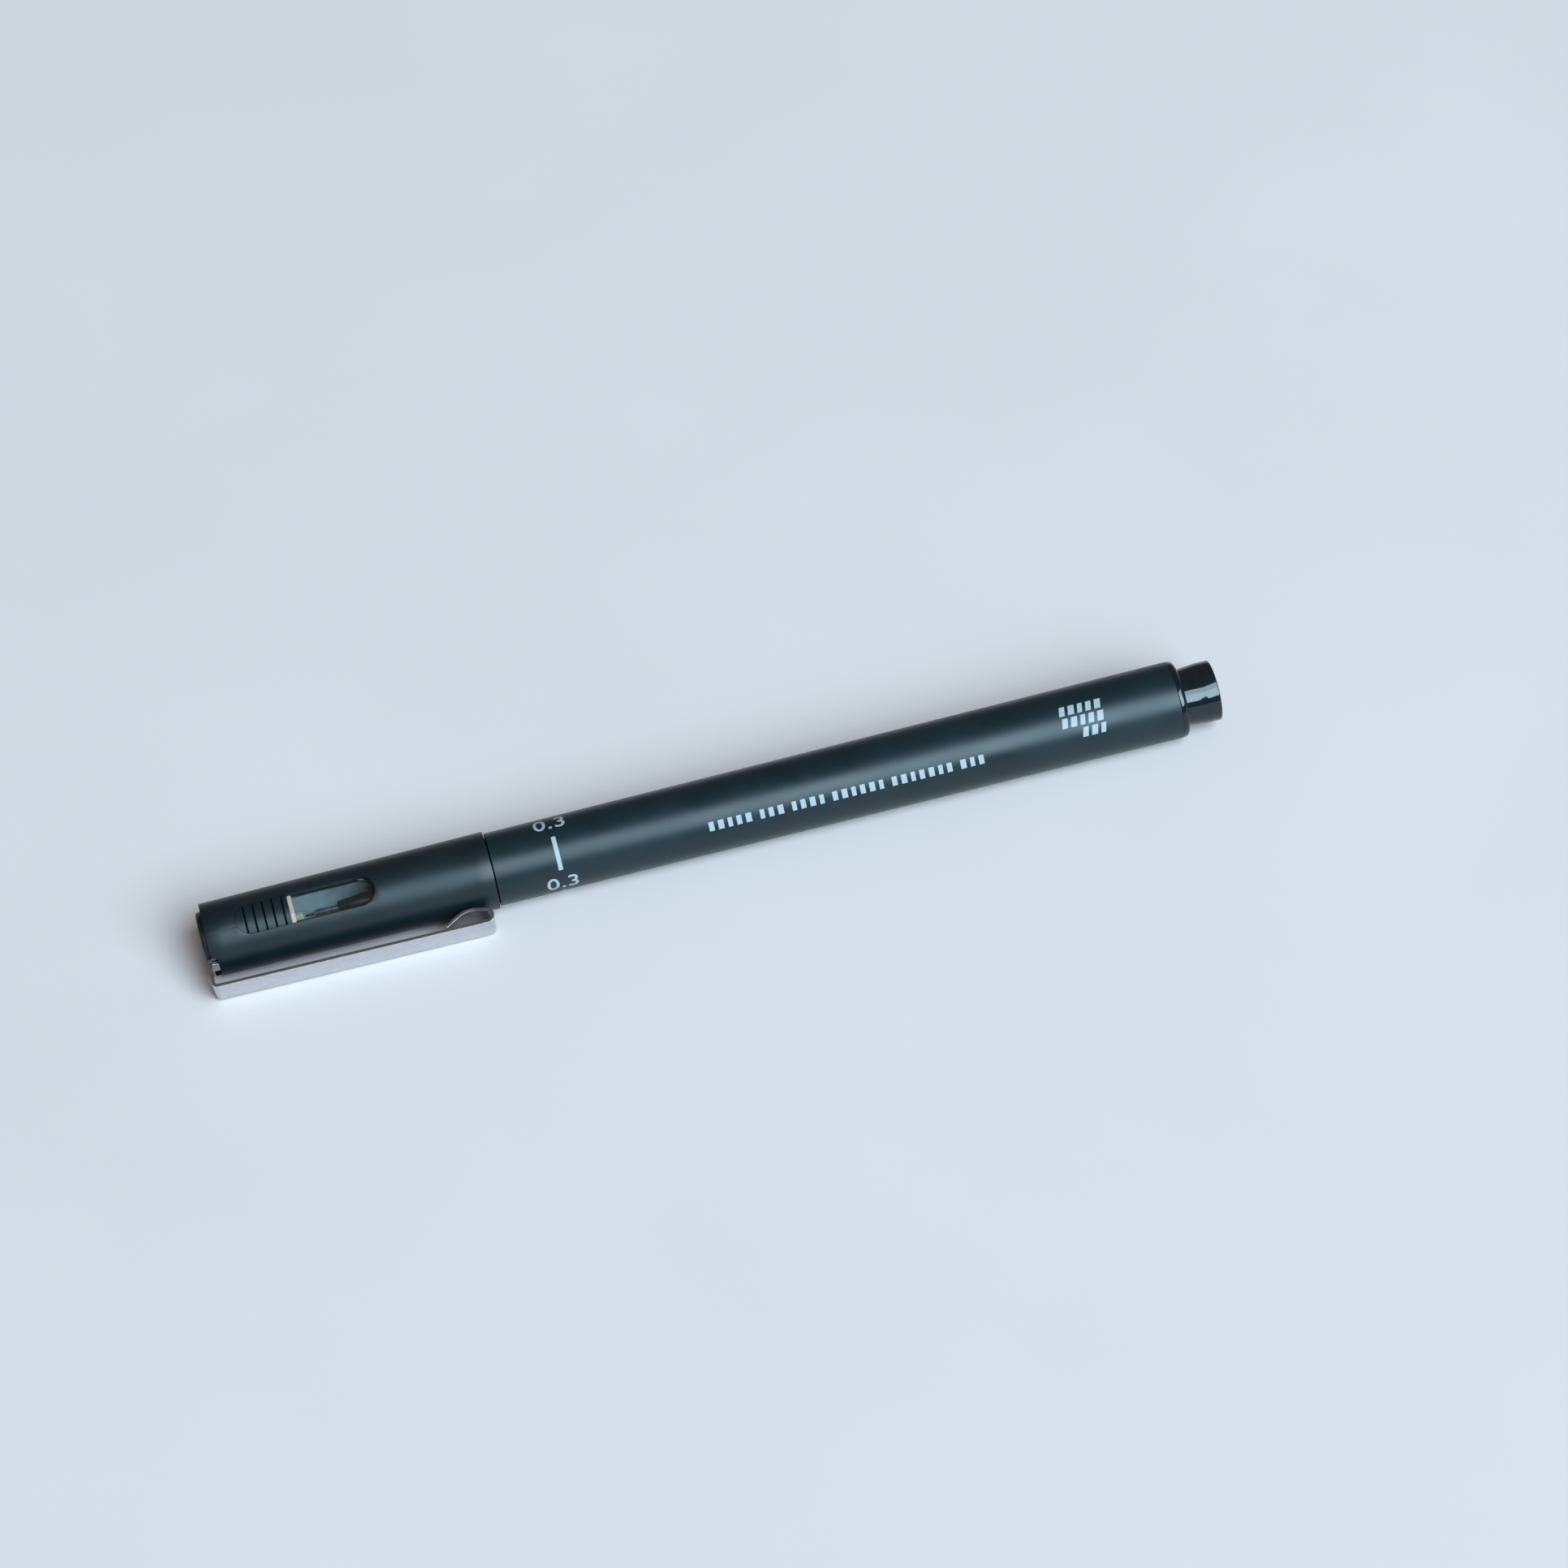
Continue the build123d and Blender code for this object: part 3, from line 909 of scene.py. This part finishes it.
    def ribs(self) -> Object:
        """The grooved filling of the closed-end part of the window.

        Returns:
            The filling.
        """
        start, stop = self.window_start, self.disc_start
        half = self.groove_width / 2
        top: list[Station] = []
        for groove in range(self.groove_count):
            at = self.first_groove + groove * self.groove_pitch
            surface = self.outer_r(at) - self.flush_drop
            top += [(at - half, surface), (at, surface - self.groove_depth), (at + half, surface)]
        bottom_r = self.bore_r - self.insert_inside
        piece = self.filling("ribbed_insert_moulding", [
            (start, bottom_r), (start, self.outer_r(start) - self.flush_drop), *top,
            (stop, self.outer_r(stop) - self.flush_drop), (stop, bottom_r)],
            start, stop - GAP, self.rib_crown)
        return finish_piece(piece, "cap", Finish.cap_plastic, "ribbed_insert")

    def seal(self) -> Object:
        """The pale seal disc with the edge that shows across the window, and its boss.

        Returns:
            The disc.
        """
        start, stop = self.disc_start, self.disc_stop
        boss_stop = LINE.span("seal_disc")[1]
        tab_r = self.bore_r - self.seal_tab
        tab = self.filling("seal_disc_edge", [
            (start, tab_r), (start, self.outer_r(start) - self.seal_drop),
            (stop, self.outer_r(stop) - self.seal_drop), (stop, tab_r)], start, stop)
        piece = turn("seal_disc_rubber", [
            (start, 0), (start, self.bore_r - FIT), (stop, self.bore_r - FIT),
            (stop, self.boss_r), *arc(boss_stop - self.boss_edge, self.boss_r - self.boss_edge,
                                      self.boss_edge, 90, 0), (boss_stop, 0)])
        cut(piece, tab, "UNION")
        soften(piece, self.seal_edge, segments=2)
        return finish_piece(piece, "cap", Finish.seal_rubber, "seal_disc")

    def pane(self) -> Object:
        """The clear pane: flat and set back, in a curved flange behind the rim.

        Returns:
            The pane.
        """
        start, stop = self.disc_stop, self.window_stop
        flange_stop = LINE.span("window_pane")[1]
        flange_r = self.bore_r - self.flange_gap
        flange = turn("pane_flange", [
            (start + GAP, self.pane_r), (start + GAP, flange_r), (flange_stop, flange_r),
            (flange_stop, self.pane_r)], segments=256)
        end = flange_stop + PAST
        cut(flange, self.window_block(self.flange_width, start, end, slope=False), "INTERSECT")
        cut(flange, self.window_block(-self.rim_inset - self.flange_lap, 0.0, end, slope=False))
        piece = self.window_block(-self.window_joint, start, stop + PAST, slope=True)
        piece.name = "window_pane_moulding"
        middle, length = (start + stop) / 2, stop - start + 4 * PAST
        bottom = self.pane_height - self.pane_thickness
        half = self.planer_height / 2
        for height in (self.pane_height + half, bottom - half):
            cut(piece, block(middle, height, self.window_elevation, length,
                             self.window_width + 4 * PAST, self.planer_height))
        cut(piece, flange, "UNION")
        soften(piece, self.pane_edge, segments=2, degrees=40)
        return finish_piece(piece, "cap", Finish.pane_clear, "window_pane")

    def liner(self) -> Object:
        """The inner cap behind the pane, and its soft sleeve that the nose closes on.

        Returns:
            The liner.
        """
        start, stop = LINE.span("seal_liner")
        step = self.socket_start
        piece = turn("seal_liner_moulding", [
            (start, self.pane_r), (start, self.bore_r - FIT), (step, self.bore_r - FIT),
            (step + FIT, self.socket_r - FIT), (stop, self.socket_r - FIT),
            (stop, self.liner_bore_r + self.liner_mouth),
            (stop - self.liner_mouth, self.liner_bore_r),
            (step + self.liner_step, self.liner_bore_r), (step, self.pane_r)], segments=256)
        cut(piece, self.window_block(self.liner_opening, start - PAST, step, slope=False))
        soften(piece, self.liner_edge, degrees=40)
        return finish_piece(piece, "cap", Finish.liner_plastic, "seal_liner")

    def build(self) -> list[Object]:
        """Builds the cap's pieces."""
        return [self.shell(), self.end_plug(), self.ribs(), self.seal(), self.pane(), self.liner()]


# ---- clip ----


@dataclass
class PocketClip:
    """One strip of spring steel, bent from the cap's end along the cap and curled back."""

    elevation: float = -21.0
    width: float = 4.8
    thickness: float = 0.4
    tongue_r: float = 3.75
    tongue_neck_width: float = 2.4
    tongue_shoulder: float = 0.68
    tongue_end: float = 2.3
    tongue_bend_r: float = 0.35
    leg: float = 0.3
    arm_start_r: float = 7.3
    arm_end_r: float = 7.7
    arm_end: float = 36.5
    arm_bend_r: float = 0.5
    arm_steps: int = 8
    tip_bend_r: float = 0.8
    tip_bend_turn: float = 165.0
    tip_run: float = 1.3
    tip_arch_r: float = 3.4
    tip_arch_turn: float = 45.0
    tip_tail: float = 2.1
    edge: float = 0.09
    bend_step: float = 7.5  # degrees
    first_half: float = 0.1  # half the length that the strip starts from

    def bend(self, path: list[Station], heading: float, radius: float, degrees: float) -> float:
        """Adds a bend to the path.

        Args:
            path: the (at, radius) points so far, which it adds to.
            heading: the direction at the last point, in degrees from +at towards +radius.
            radius: the bend's radius, to the strip's centre.
            degrees: how far it turns; positive turns towards +radius.

        Returns:
            The heading after the bend.
        """
        steps = max(2, math.ceil(abs(degrees) / self.bend_step))
        side = math.copysign(90.0, degrees)
        at, r = path[-1]
        centre_at = at + radius * math.cos(math.radians(heading + side))
        centre_r = r + radius * math.sin(math.radians(heading + side))
        for step in range(1, steps + 1):
            angle = math.radians(heading + degrees * step / steps - side)
            path.append((centre_at + radius * math.cos(angle), centre_r + radius * math.sin(angle)))
        return heading + degrees

    def run(self, path: list[Station], heading: float, length: float) -> None:
        """Adds a straight run to the path.

        Args:
            path: the points so far, which it adds to.
            heading: the run's direction, in degrees.
            length: the run's length.
        """
        at, r = path[-1]
        path.append((at + length * math.cos(math.radians(heading)),
                     r + length * math.sin(math.radians(heading))))

    def centre_line(self) -> tuple[list[Station], int]:
        """The strip's centre line as (at, radius), and how many points have the narrow width.

        Returns:
            The line's points and that count.
        """
        slope = math.degrees(math.atan2(self.arm_end_r - self.arm_start_r,
                                        self.arm_end - self.leg - self.arm_bend_r))
        path: list[Station] = [
            (self.tongue_end, self.tongue_r), (self.tongue_shoulder + FIT, self.tongue_r),
            (self.tongue_shoulder, self.tongue_r)]
        narrow = len(path)
        path.append((self.leg + self.tongue_bend_r, self.tongue_r))
        heading = self.bend(path, 180.0, self.tongue_bend_r, -90.0)
        path.append((self.leg, self.arm_start_r - self.arm_bend_r))
        heading = self.bend(path, heading, self.arm_bend_r, -90.0 + slope)
        bend_at, bend_r = path[-1]
        for step in range(self.arm_steps):
            share = (step + 1) / self.arm_steps
            path.append((bend_at + share * (self.arm_end - bend_at),
                         bend_r + share * (self.arm_end_r - bend_r)))
        heading = self.bend(path, heading, self.tip_bend_r, -self.tip_bend_turn)
        self.run(path, heading, self.tip_run)
        heading = self.bend(path, heading, self.tip_arch_r, -self.tip_arch_turn)
        self.run(path, heading, self.tip_tail)
        return path, narrow

    def build(self) -> list[Object]:
        """Pulls a strip along the centre line facing up, thickens it and swings it into place.

        Returns:
            The clip, as a list of one.
        """
        path, narrow = self.centre_line()
        first, *others = path
        deselect()
        bpy.ops.mesh.primitive_plane_add(size=1.0, location=LINE.place(*first, UP))
        piece = resized(bpy.context.object, metres(2 * self.first_half),
                        metres(self.tongue_neck_width))
        piece.name = "clip_strip"
        bpy.ops.object.transform_apply()
        bpy.ops.object.mode_set(mode="EDIT")
        points = piece.data.vertices
        middle = LINE.place(*first, UP).x
        select_parts(piece, "EDGE", lambda edge: all(points[v].co.x < middle for v in edge.vertices))
        previous = (first[0] - self.first_half, first[1])
        for count, spot in enumerate(others, start=2):
            step = LINE.place(*spot, UP) - LINE.place(*previous, UP)
            bpy.ops.mesh.extrude_region_move(TRANSFORM_OT_translate={"value": step})
            if count == narrow:
                scale = self.width / self.tongue_neck_width
                bpy.ops.transform.resize(value=(1, scale, 1), center_override=LINE.place(*spot, UP))
            previous = spot
        close(piece)
        modify(piece, "SOLIDIFY", thickness=metres(self.thickness), offset=0.0, use_even_offset=True)
        soften(piece, self.edge, segments=3, degrees=50)
        swing(piece, self.elevation)
        return [finish_piece(piece, "clip", Finish.clip_steel, "pocket_clip")]


# ---- barrel ----


@dataclass
class Barrel:
    """The barrel, its nose with the nib, and the plug at the tail."""

    front_r: float = 4.85
    bore_r: float = 4.05
    tube_edge: float = 0.06
    nose_tip_r: float = 1.9
    holder_bore_r: float = 1.2
    cone_stop: float = 29.0
    cone_stop_r: float = 3.0
    shoulder: float = 30.9
    shoulder_r: float = 3.2
    neck: float = 31.4
    neck_r: float = 4.2
    bead: float = 35.0
    bead_r: float = 4.38
    bead_top: float = 0.15  # half its length at the top, and at its foot
    bead_foot: float = 0.5
    nose_edge: float = 0.12
    bore_ring: float = 1.5  # where the bore's first ring stands, from the tip
    holder_tip_r: float = 0.85
    holder_step: float = 21.5
    holder_edge: float = 0.08
    sleeve_r: float = 0.5
    sleeve_bore_r: float = 0.22
    sleeve_nose: tuple[Pair, ...] = ((0.0, 0.15), (0.12, 0.06), (0.3, 0.0))  # along, drawn in
    sleeve_edge: float = 0.04
    nib_r: float = 0.15
    nib_point: tuple[Pair, ...] = ((0.02, 0.6), (0.08, 1.0))  # along, share of the radius
    nib_root: float = 0.2  # where it widens, before the sleeve
    flange_length: float = 0.95
    flange_front_edge: float = 0.05
    flange_back_edge: float = 0.6
    stub_root_r: float = 3.8
    stub_r: float = 4.05
    land_length: float = 1.9
    dish_rim: float = 0.7
    dish_foot: float = 0.95
    dish_depth: float = 0.2
    stub_edge: float = 0.15
    front: float = LINE.span("barrel_tube")[0]
    tail: float = LINE.span("barrel_tube")[1]
    tail_r: float = LINE.widest("barrel_tube")

    def outer_r(self, at: float) -> float:
        """The tapered barrel's outside radius at a station."""
        along = (at - self.front) / (self.tail - self.front)
        return self.front_r + along * (self.tail_r - self.front_r)

    def tube(self) -> Object:
        """The long tapered tube.

        Returns:
            The tube.
        """
        piece = turn("barrel_moulding", [
            (self.front, self.bore_r), (self.front, self.front_r), (self.tail, self.tail_r),
            (self.tail, self.bore_r)])
        soften(piece, self.tube_edge)
        return finish_piece(piece, "barrel", Finish.barrel_plastic, "barrel_tube")

    def nose(self) -> Object:
        """The neck with its snap bead, and the cone that carries the nib.

        Returns:
            The nose.
        """
        start, stop = LINE.span("nose_section")
        piece = turn("nose_moulding", [
            (start + self.bore_ring, self.holder_bore_r), (start, self.holder_bore_r),
            (start, self.nose_tip_r), (self.cone_stop, self.cone_stop_r),
            (self.shoulder, self.shoulder_r), (self.neck, self.neck_r),
            (self.bead - self.bead_foot, self.neck_r), (self.bead - self.bead_top, self.bead_r),
            (self.bead + self.bead_top, self.bead_r), (self.bead + self.bead_foot, self.neck_r),
            (self.front, self.neck_r), (self.front, self.bore_r - FIT),
            (stop, self.bore_r - FIT), (stop, self.holder_bore_r)])
        soften(piece, self.nose_edge, degrees=20)
        return finish_piece(piece, "barrel", Finish.nose_plastic, "nose_section")

    def holder(self) -> Object:
        """The small stepped holder round the sleeve.

        Returns:
            The holder.
        """
        start, stop = LINE.span("tip_holder")
        piece = turn("tip_holder_moulding", [
            (start, self.sleeve_r), (start, self.holder_tip_r),
            (self.holder_step, self.holder_bore_r - FIT), (stop, self.holder_bore_r - FIT),
            (stop, self.sleeve_r)], segments=96)
        soften(piece, self.holder_edge)
        return finish_piece(piece, "barrel", Finish.nose_plastic, "tip_holder")

    def sleeve(self) -> Object:
        """The steel sleeve, drawn in at its front to grip the nib.

        Returns:
            The sleeve.
        """
        start, stop = LINE.span("nib_sleeve")
        outer_r = self.sleeve_r - GAP
        piece = turn("nib_sleeve_tube", [
            (start, self.sleeve_bore_r),
            *[(start + along, outer_r - drawn_in) for along, drawn_in in self.sleeve_nose],
            (stop, outer_r), (stop, self.sleeve_bore_r)], segments=96)
        soften(piece, self.sleeve_edge)
        return finish_piece(piece, "barrel", Finish.sleeve_steel, "nib_sleeve")

    def nib(self) -> Object:
        """The fibre nib with its rounded point.

        Returns:
            The nib.
        """
        start, stop = LINE.span("fibre_nib")
        root = LINE.span("nib_sleeve")[0]
        piece = turn("nib_point", [
            (start, 0), *[(start + along, self.nib_r * share) for along, share in self.nib_point],
            (root - self.nib_root, self.sleeve_bore_r - GAP), (stop, self.sleeve_bore_r - GAP),
            (stop, 0)], segments=48)
        return finish_piece(piece, "barrel", Finish.nib_fibre, "fibre_nib")

    def plug(self) -> Object:
        """The glossy tail plug: rounded flange, flared stub and a shallow dished end.

        Returns:
            The plug.
        """
        start, stop = LINE.span("tail_plug")
        flange_stop = self.tail + self.flange_length
        land = stop - self.land_length
        front, back = self.flange_front_edge, self.flange_back_edge
        piece = turn("tail_plug_moulding", [
            (start, 0), (start, self.bore_r - FIT), (self.tail, self.bore_r - FIT),
            *arc(self.tail + front, self.tail_r - front, front, 180, 90),
            *arc(flange_stop - back, self.tail_r - back, back, 90, 0),
            (flange_stop, self.stub_root_r), (land, self.stub_r), (stop, self.stub_r),
            (stop, self.stub_r - self.dish_rim),
            (stop - self.dish_depth, self.stub_r - self.dish_foot), (stop - self.dish_depth, 0)])
        soften(piece, self.stub_edge, segments=4)
        return finish_piece(piece, "barrel", Finish.plug_plastic, "tail_plug")

    def build(self) -> list[Object]:
        """Builds the barrel's pieces."""
        return [self.tube(), self.nose(), self.holder(), self.sleeve(), self.nib(), self.plug()]


# ---- print ----


@dataclass
class Print:
    """White pad print on the barrel: the size in figures, bars between, and plain small print.

    Plain blocks, in groups of a word's length, stand where there would be letters.
    """

    barrel: Barrel
    film: float = 0.012
    size_at: float = 47.3
    size_height: float = 2.3
    figure_share: float = 0.73  # a figure's height in the font's size
    size_stretch: float = 1.12
    size_weight: float = 0.02
    size_elevation: float = 102.0
    around: int = 3
    around_step: float = -109.0
    bar_width: float = 0.58
    bar_arc: float = 4.6
    bar_elevation: float = 47.5
    line_at: float = 67.3
    line_elevation: float = 30.0
    line_height: float = 1.25
    line_words: tuple[int, ...] = (5, 3, 4, 6, 7, 3)
    line_block: float = 0.68
    line_gap: float = 0.56
    small_stop: float = 121.1
    small_elevation: float = 51.5
    small_words: tuple[int, ...] = (5, 5, 3)
    small_height: float = 1.3
    small_pitch: float = 1.66
    small_block: float = 0.74
    small_gap: float = 0.45
    small_slant: float = 0.2  # x per y
    word_gap: float = 1.15
    block_ripple: float = 0.14  # how much the blocks differ in width, as letters do
    ripple_step: float = 2.1  # radians from block to block

    def wrap(self, piece: Object, at: float, elevation: float) -> Object:
        """Lays a flat print on the barrel and gives it its film thickness.

        Args:
            piece: the flat print in millimetres, x along the pen and y round it.
            at: the station of its x = 0.
            elevation: the elevation of its y = 0.

        Returns:
            The finished print.
        """
        for point in piece.data.vertices:
            radius = self.barrel.outer_r(at + point.co.x)
            angle = elevation + math.degrees(point.co.y / radius)
            point.co = LINE.place(at + point.co.x, radius, angle)
        modify(piece, "SOLIDIFY", thickness=metres(self.film), offset=1.0)
        return finish_piece(piece, "barrel", Finish.print_ink)

    def figures(self) -> Object:
        """The size in figures, flat and in millimetres.

        Returns:
            The flat print.
        """
        deselect()
        bpy.ops.object.text_add(location=(0, 0, 0))
        words = bpy.context.object.data
        words.body = "0.3"
        words.size = self.size_height / self.figure_share
        words.offset = self.size_weight
        words.align_x = "CENTER"
        words.align_y = "CENTER"
        words.space_character = 1.05
        words.resolution_u = 8
        bpy.ops.object.convert(target="MESH")
        piece = resized(bpy.context.object, self.size_stretch, 1)
        piece.name = "size_figures"
        bpy.ops.object.mode_set(mode="EDIT")
        bpy.ops.mesh.select_all(action="SELECT")
        bpy.ops.mesh.remove_doubles(threshold=0.0005)
        bpy.ops.mesh.quads_convert_to_tris(quad_method="BEAUTY", ngon_method="BEAUTY")
        bpy.ops.mesh.subdivide(number_cuts=3)
        bpy.ops.object.mode_set(mode="OBJECT")
        return piece

    def blocks(self, name: str, spots: Sequence[Spot], slant: float = 0.0) -> Object:
        """Plain blocks, flat and in millimetres.

        Args:
            name: the print's name.
            spots: each block's centre x and y, width and height.
            slant: how far a block leans, as x per y.

        Returns:
            The flat print.
        """
        made = []
        for x, y, width, height in spots:
            deselect()
            bpy.ops.mesh.primitive_grid_add(
                x_subdivisions=2, y_subdivisions=max(2, round(height / 0.3)), size=1.0,
                location=(x, y, 0))
            made.append(resized(bpy.context.object, width, height))
            bpy.ops.object.transform_apply()
            for point in made[-1].data.vertices:
                point.co.x += slant * (point.co.y - y)
        for piece in made:
            piece.select_set(True)
        bpy.context.view_layer.objects.active = made[0]
        if len(made) > 1:
            bpy.ops.object.join()
        piece = bpy.context.object
        piece.name = name
        return piece

    def row(self, words: Sequence[int], y: float, height: float, block_width: float,
            gap: float) -> list[Spot]:
        """Lays out a row of words in blocks, from x = 0.

        Args:
            words: how many blocks each word has.
            y: the row's middle.
            height: the blocks' height.
            block_width: their usual width.
            gap: the space between two blocks of a word.

        Returns:
            Each block's centre x and y, width and height.
        """
        spots = []
        x = 0.0
        for letters in words:
            for letter in range(letters):
                width = block_width * (
                    1.0 + self.block_ripple * math.sin(self.ripple_step * len(spots)))
                spots.append((x + width / 2, y, width, height))
                x += width + gap
            x += self.word_gap - gap
        return spots

    def build(self) -> list[Object]:
        """Prints the figures, the bars, the long line and the small print.

        Returns:
            The prints.
        """
        made = []
        patterns = [
            (self.figures(), self.size_elevation),
            (self.blocks("size_bar", [(0, 0, self.bar_width, self.bar_arc)]), self.bar_elevation),
        ]
        for count in range(self.around):
            for flat, elevation in patterns:
                piece = copied(flat, f"{flat.name}_{count + 1}")
                made.append(self.wrap(piece, self.size_at, elevation + count * self.around_step))
        for flat, _ in patterns:
            bpy.data.objects.remove(flat)
        line = self.row(self.line_words, 0, self.line_height, self.line_block, self.line_gap)
        made.append(self.wrap(self.blocks("long_line", line), self.line_at, self.line_elevation))
        small = []
        for count, letters in enumerate(self.small_words):
            spots = self.row((letters,), (1 - count) * self.small_pitch, self.small_height,
                             self.small_block, self.small_gap)
            right = spots[-1][0] + spots[-1][2] / 2
            small += [(x - right, y, width, height) for x, y, width, height in spots]
        made.append(self.wrap(self.blocks("small_print", small, self.small_slant),
                              self.small_stop, self.small_elevation))
        return made


# ---- hidden pieces ----


@dataclass
class InkFeed:
    """The wick, its collar, the reservoir and its film, which stay as the frame has them."""

    finishes: dict[str, Finish] = field(default_factory=lambda: {
        "ink_wick": Finish.feed_fibre,
        "wick_collar": Finish.liner_plastic,
        "ink_reservoir": Finish.feed_fibre,
        "reservoir_film": Finish.film_plastic,
    })

    def build(self) -> list[Object]:
        """Dresses the nodes.

        Returns:
            The nodes' pieces.
        """
        for node, finish in self.finishes.items():
            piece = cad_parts[node]
            piece.data.materials.clear()
            piece.data.materials.append(finish.material)
            log.info("%s: dressed with %s", node, finish.value.name)
        return [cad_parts[node] for node in self.finishes]


# ---- studio ----


@dataclass(frozen=True)
class WindowLight:
    """One part of the window, by the directions that it covers as seen from the pen."""

    elevation: float  # degrees above the table
    half_height: float  # degrees
    azimuth: float  # degrees from the clip's side (-Y) towards the tail (+X)
    half_width: float  # degrees
    radiance: float  # against a white table in full light
    distance: float = 5.0  # metres
    colour: str = "#cceeff"


@dataclass
class Studio:
    """A pale table, a wide soft window light on the clip's side, and the camera."""

    window_low: WindowLight = WindowLight(36.0, 14.0, 27.0, 18.0, 11.8)
    window_high: WindowLight = WindowLight(58.0, 8.0, 27.0, 18.0, 8.6)
    room_colour: str = "#fff0e6"
    room_strength: float = 0.14

    table_size: float = 4.0
    view_elevation: float = 47.0
    view_away: float = 5.4  # degrees that the tail leans away from the camera
    view_rise: float = 13.985  # degrees that the pen climbs to the right
    distance: float = 667.3
    aim_at: float = 78.6
    aim_above: float = 1.65
    focal: float = 116.8
    sensor: float = 36.0

    def table(self) -> None:
        """The table top that the pen lies on."""
        deselect()
        bpy.ops.mesh.primitive_plane_add(size=self.table_size)
        top = bpy.context.object
        top.name = "table_top"
        top.data.materials.append(TableTop("pale_laminate").make())

    def area(self, name: str, pane: WindowLight) -> None:
        """Hangs a rectangular soft light that faces the pen.

        Args:
            name: the light's name.
            pane: the part of the window it stands for.
        """
        lamp = bpy.data.lights.new(name, "AREA")
        lamp.shape = "RECTANGLE"
        lamp.size = 2 * pane.distance * math.tan(math.radians(pane.half_width))
        lamp.size_y = 2 * pane.distance * math.tan(math.radians(pane.half_height))
        lamp.energy = pane.radiance * math.pi * lamp.size * lamp.size_y
        lamp.color = linear(pane.colour)[:3]
        up, across = math.radians(pane.elevation), math.radians(pane.azimuth)
        away = Vector((math.sin(across) * math.cos(up), -math.cos(across) * math.cos(up), math.sin(up)))
        holder = bpy.data.objects.new(name, lamp)
        holder.location = away * pane.distance
        holder.rotation_euler = away.to_track_quat("Z", "Y").to_euler()
        bpy.context.scene.collection.objects.link(holder)

    def lights(self) -> None:
        """The window, brightest low down, and a dim warm room."""
        self.area("window_low", self.window_low)
        self.area("window_high", self.window_high)
        room = bpy.data.worlds.new("room")
        room.use_nodes = True
        bpy.context.scene.world = room
        background = room.node_tree.nodes["Background"]
        background.inputs["Color"].default_value = linear(self.room_colour)
        background.inputs["Strength"].default_value = self.room_strength

    def camera(self) -> None:
        """The camera, looking down at the pen."""
        rise, away = math.radians(self.view_rise), math.radians(self.view_away)
        up = math.radians(self.view_elevation)
        along = Vector((1, 0, 0))
        inwards = Vector((0, math.cos(up), -math.sin(up)))
        over = Vector((0, math.sin(up), math.cos(up)))
        forward = math.sin(away) * along + math.cos(away) * inwards
        right_along = math.cos(away) * math.cos(rise)
        right_inwards = -right_along * math.tan(away)
        right_over = -math.sqrt(1 - right_along ** 2 - right_inwards ** 2)
        right = right_along * along + right_inwards * inwards + right_over * over
        above = right.cross(forward)
        view = Matrix((right, above, -forward)).transposed().to_4x4()
        target = LINE.place(self.aim_at) + metres(self.aim_above) * over
        view.translation = target - metres(self.distance) * forward
        camera = bpy.data.cameras.new("camera")
        camera.lens = self.focal
        camera.sensor_width = self.sensor
        camera.clip_start = 0.01
        holder = bpy.data.objects.new("camera", camera)
        holder.matrix_world = view
        bpy.context.scene.collection.objects.link(holder)
        bpy.context.scene.camera = holder

    def build(self) -> None:
        """Sets the table, the lights and the camera."""
        bpy.context.scene.view_settings.view_transform = "Standard"
        self.table()
        self.lights()
        self.camera()


def main() -> None:
    """Builds the pen and its studio."""
    logging.basicConfig(level=logging.INFO, format="%(name)s: %(message)s")
    barrel = Barrel()
    made: list[Object] = []
    for assembly in (Cap(), PocketClip(), barrel, Print(barrel), InkFeed()):
        made += assembly.build()
    Studio().build()
    log.info("%d pieces", len(made))


if __name__ == "__main__":
    main()
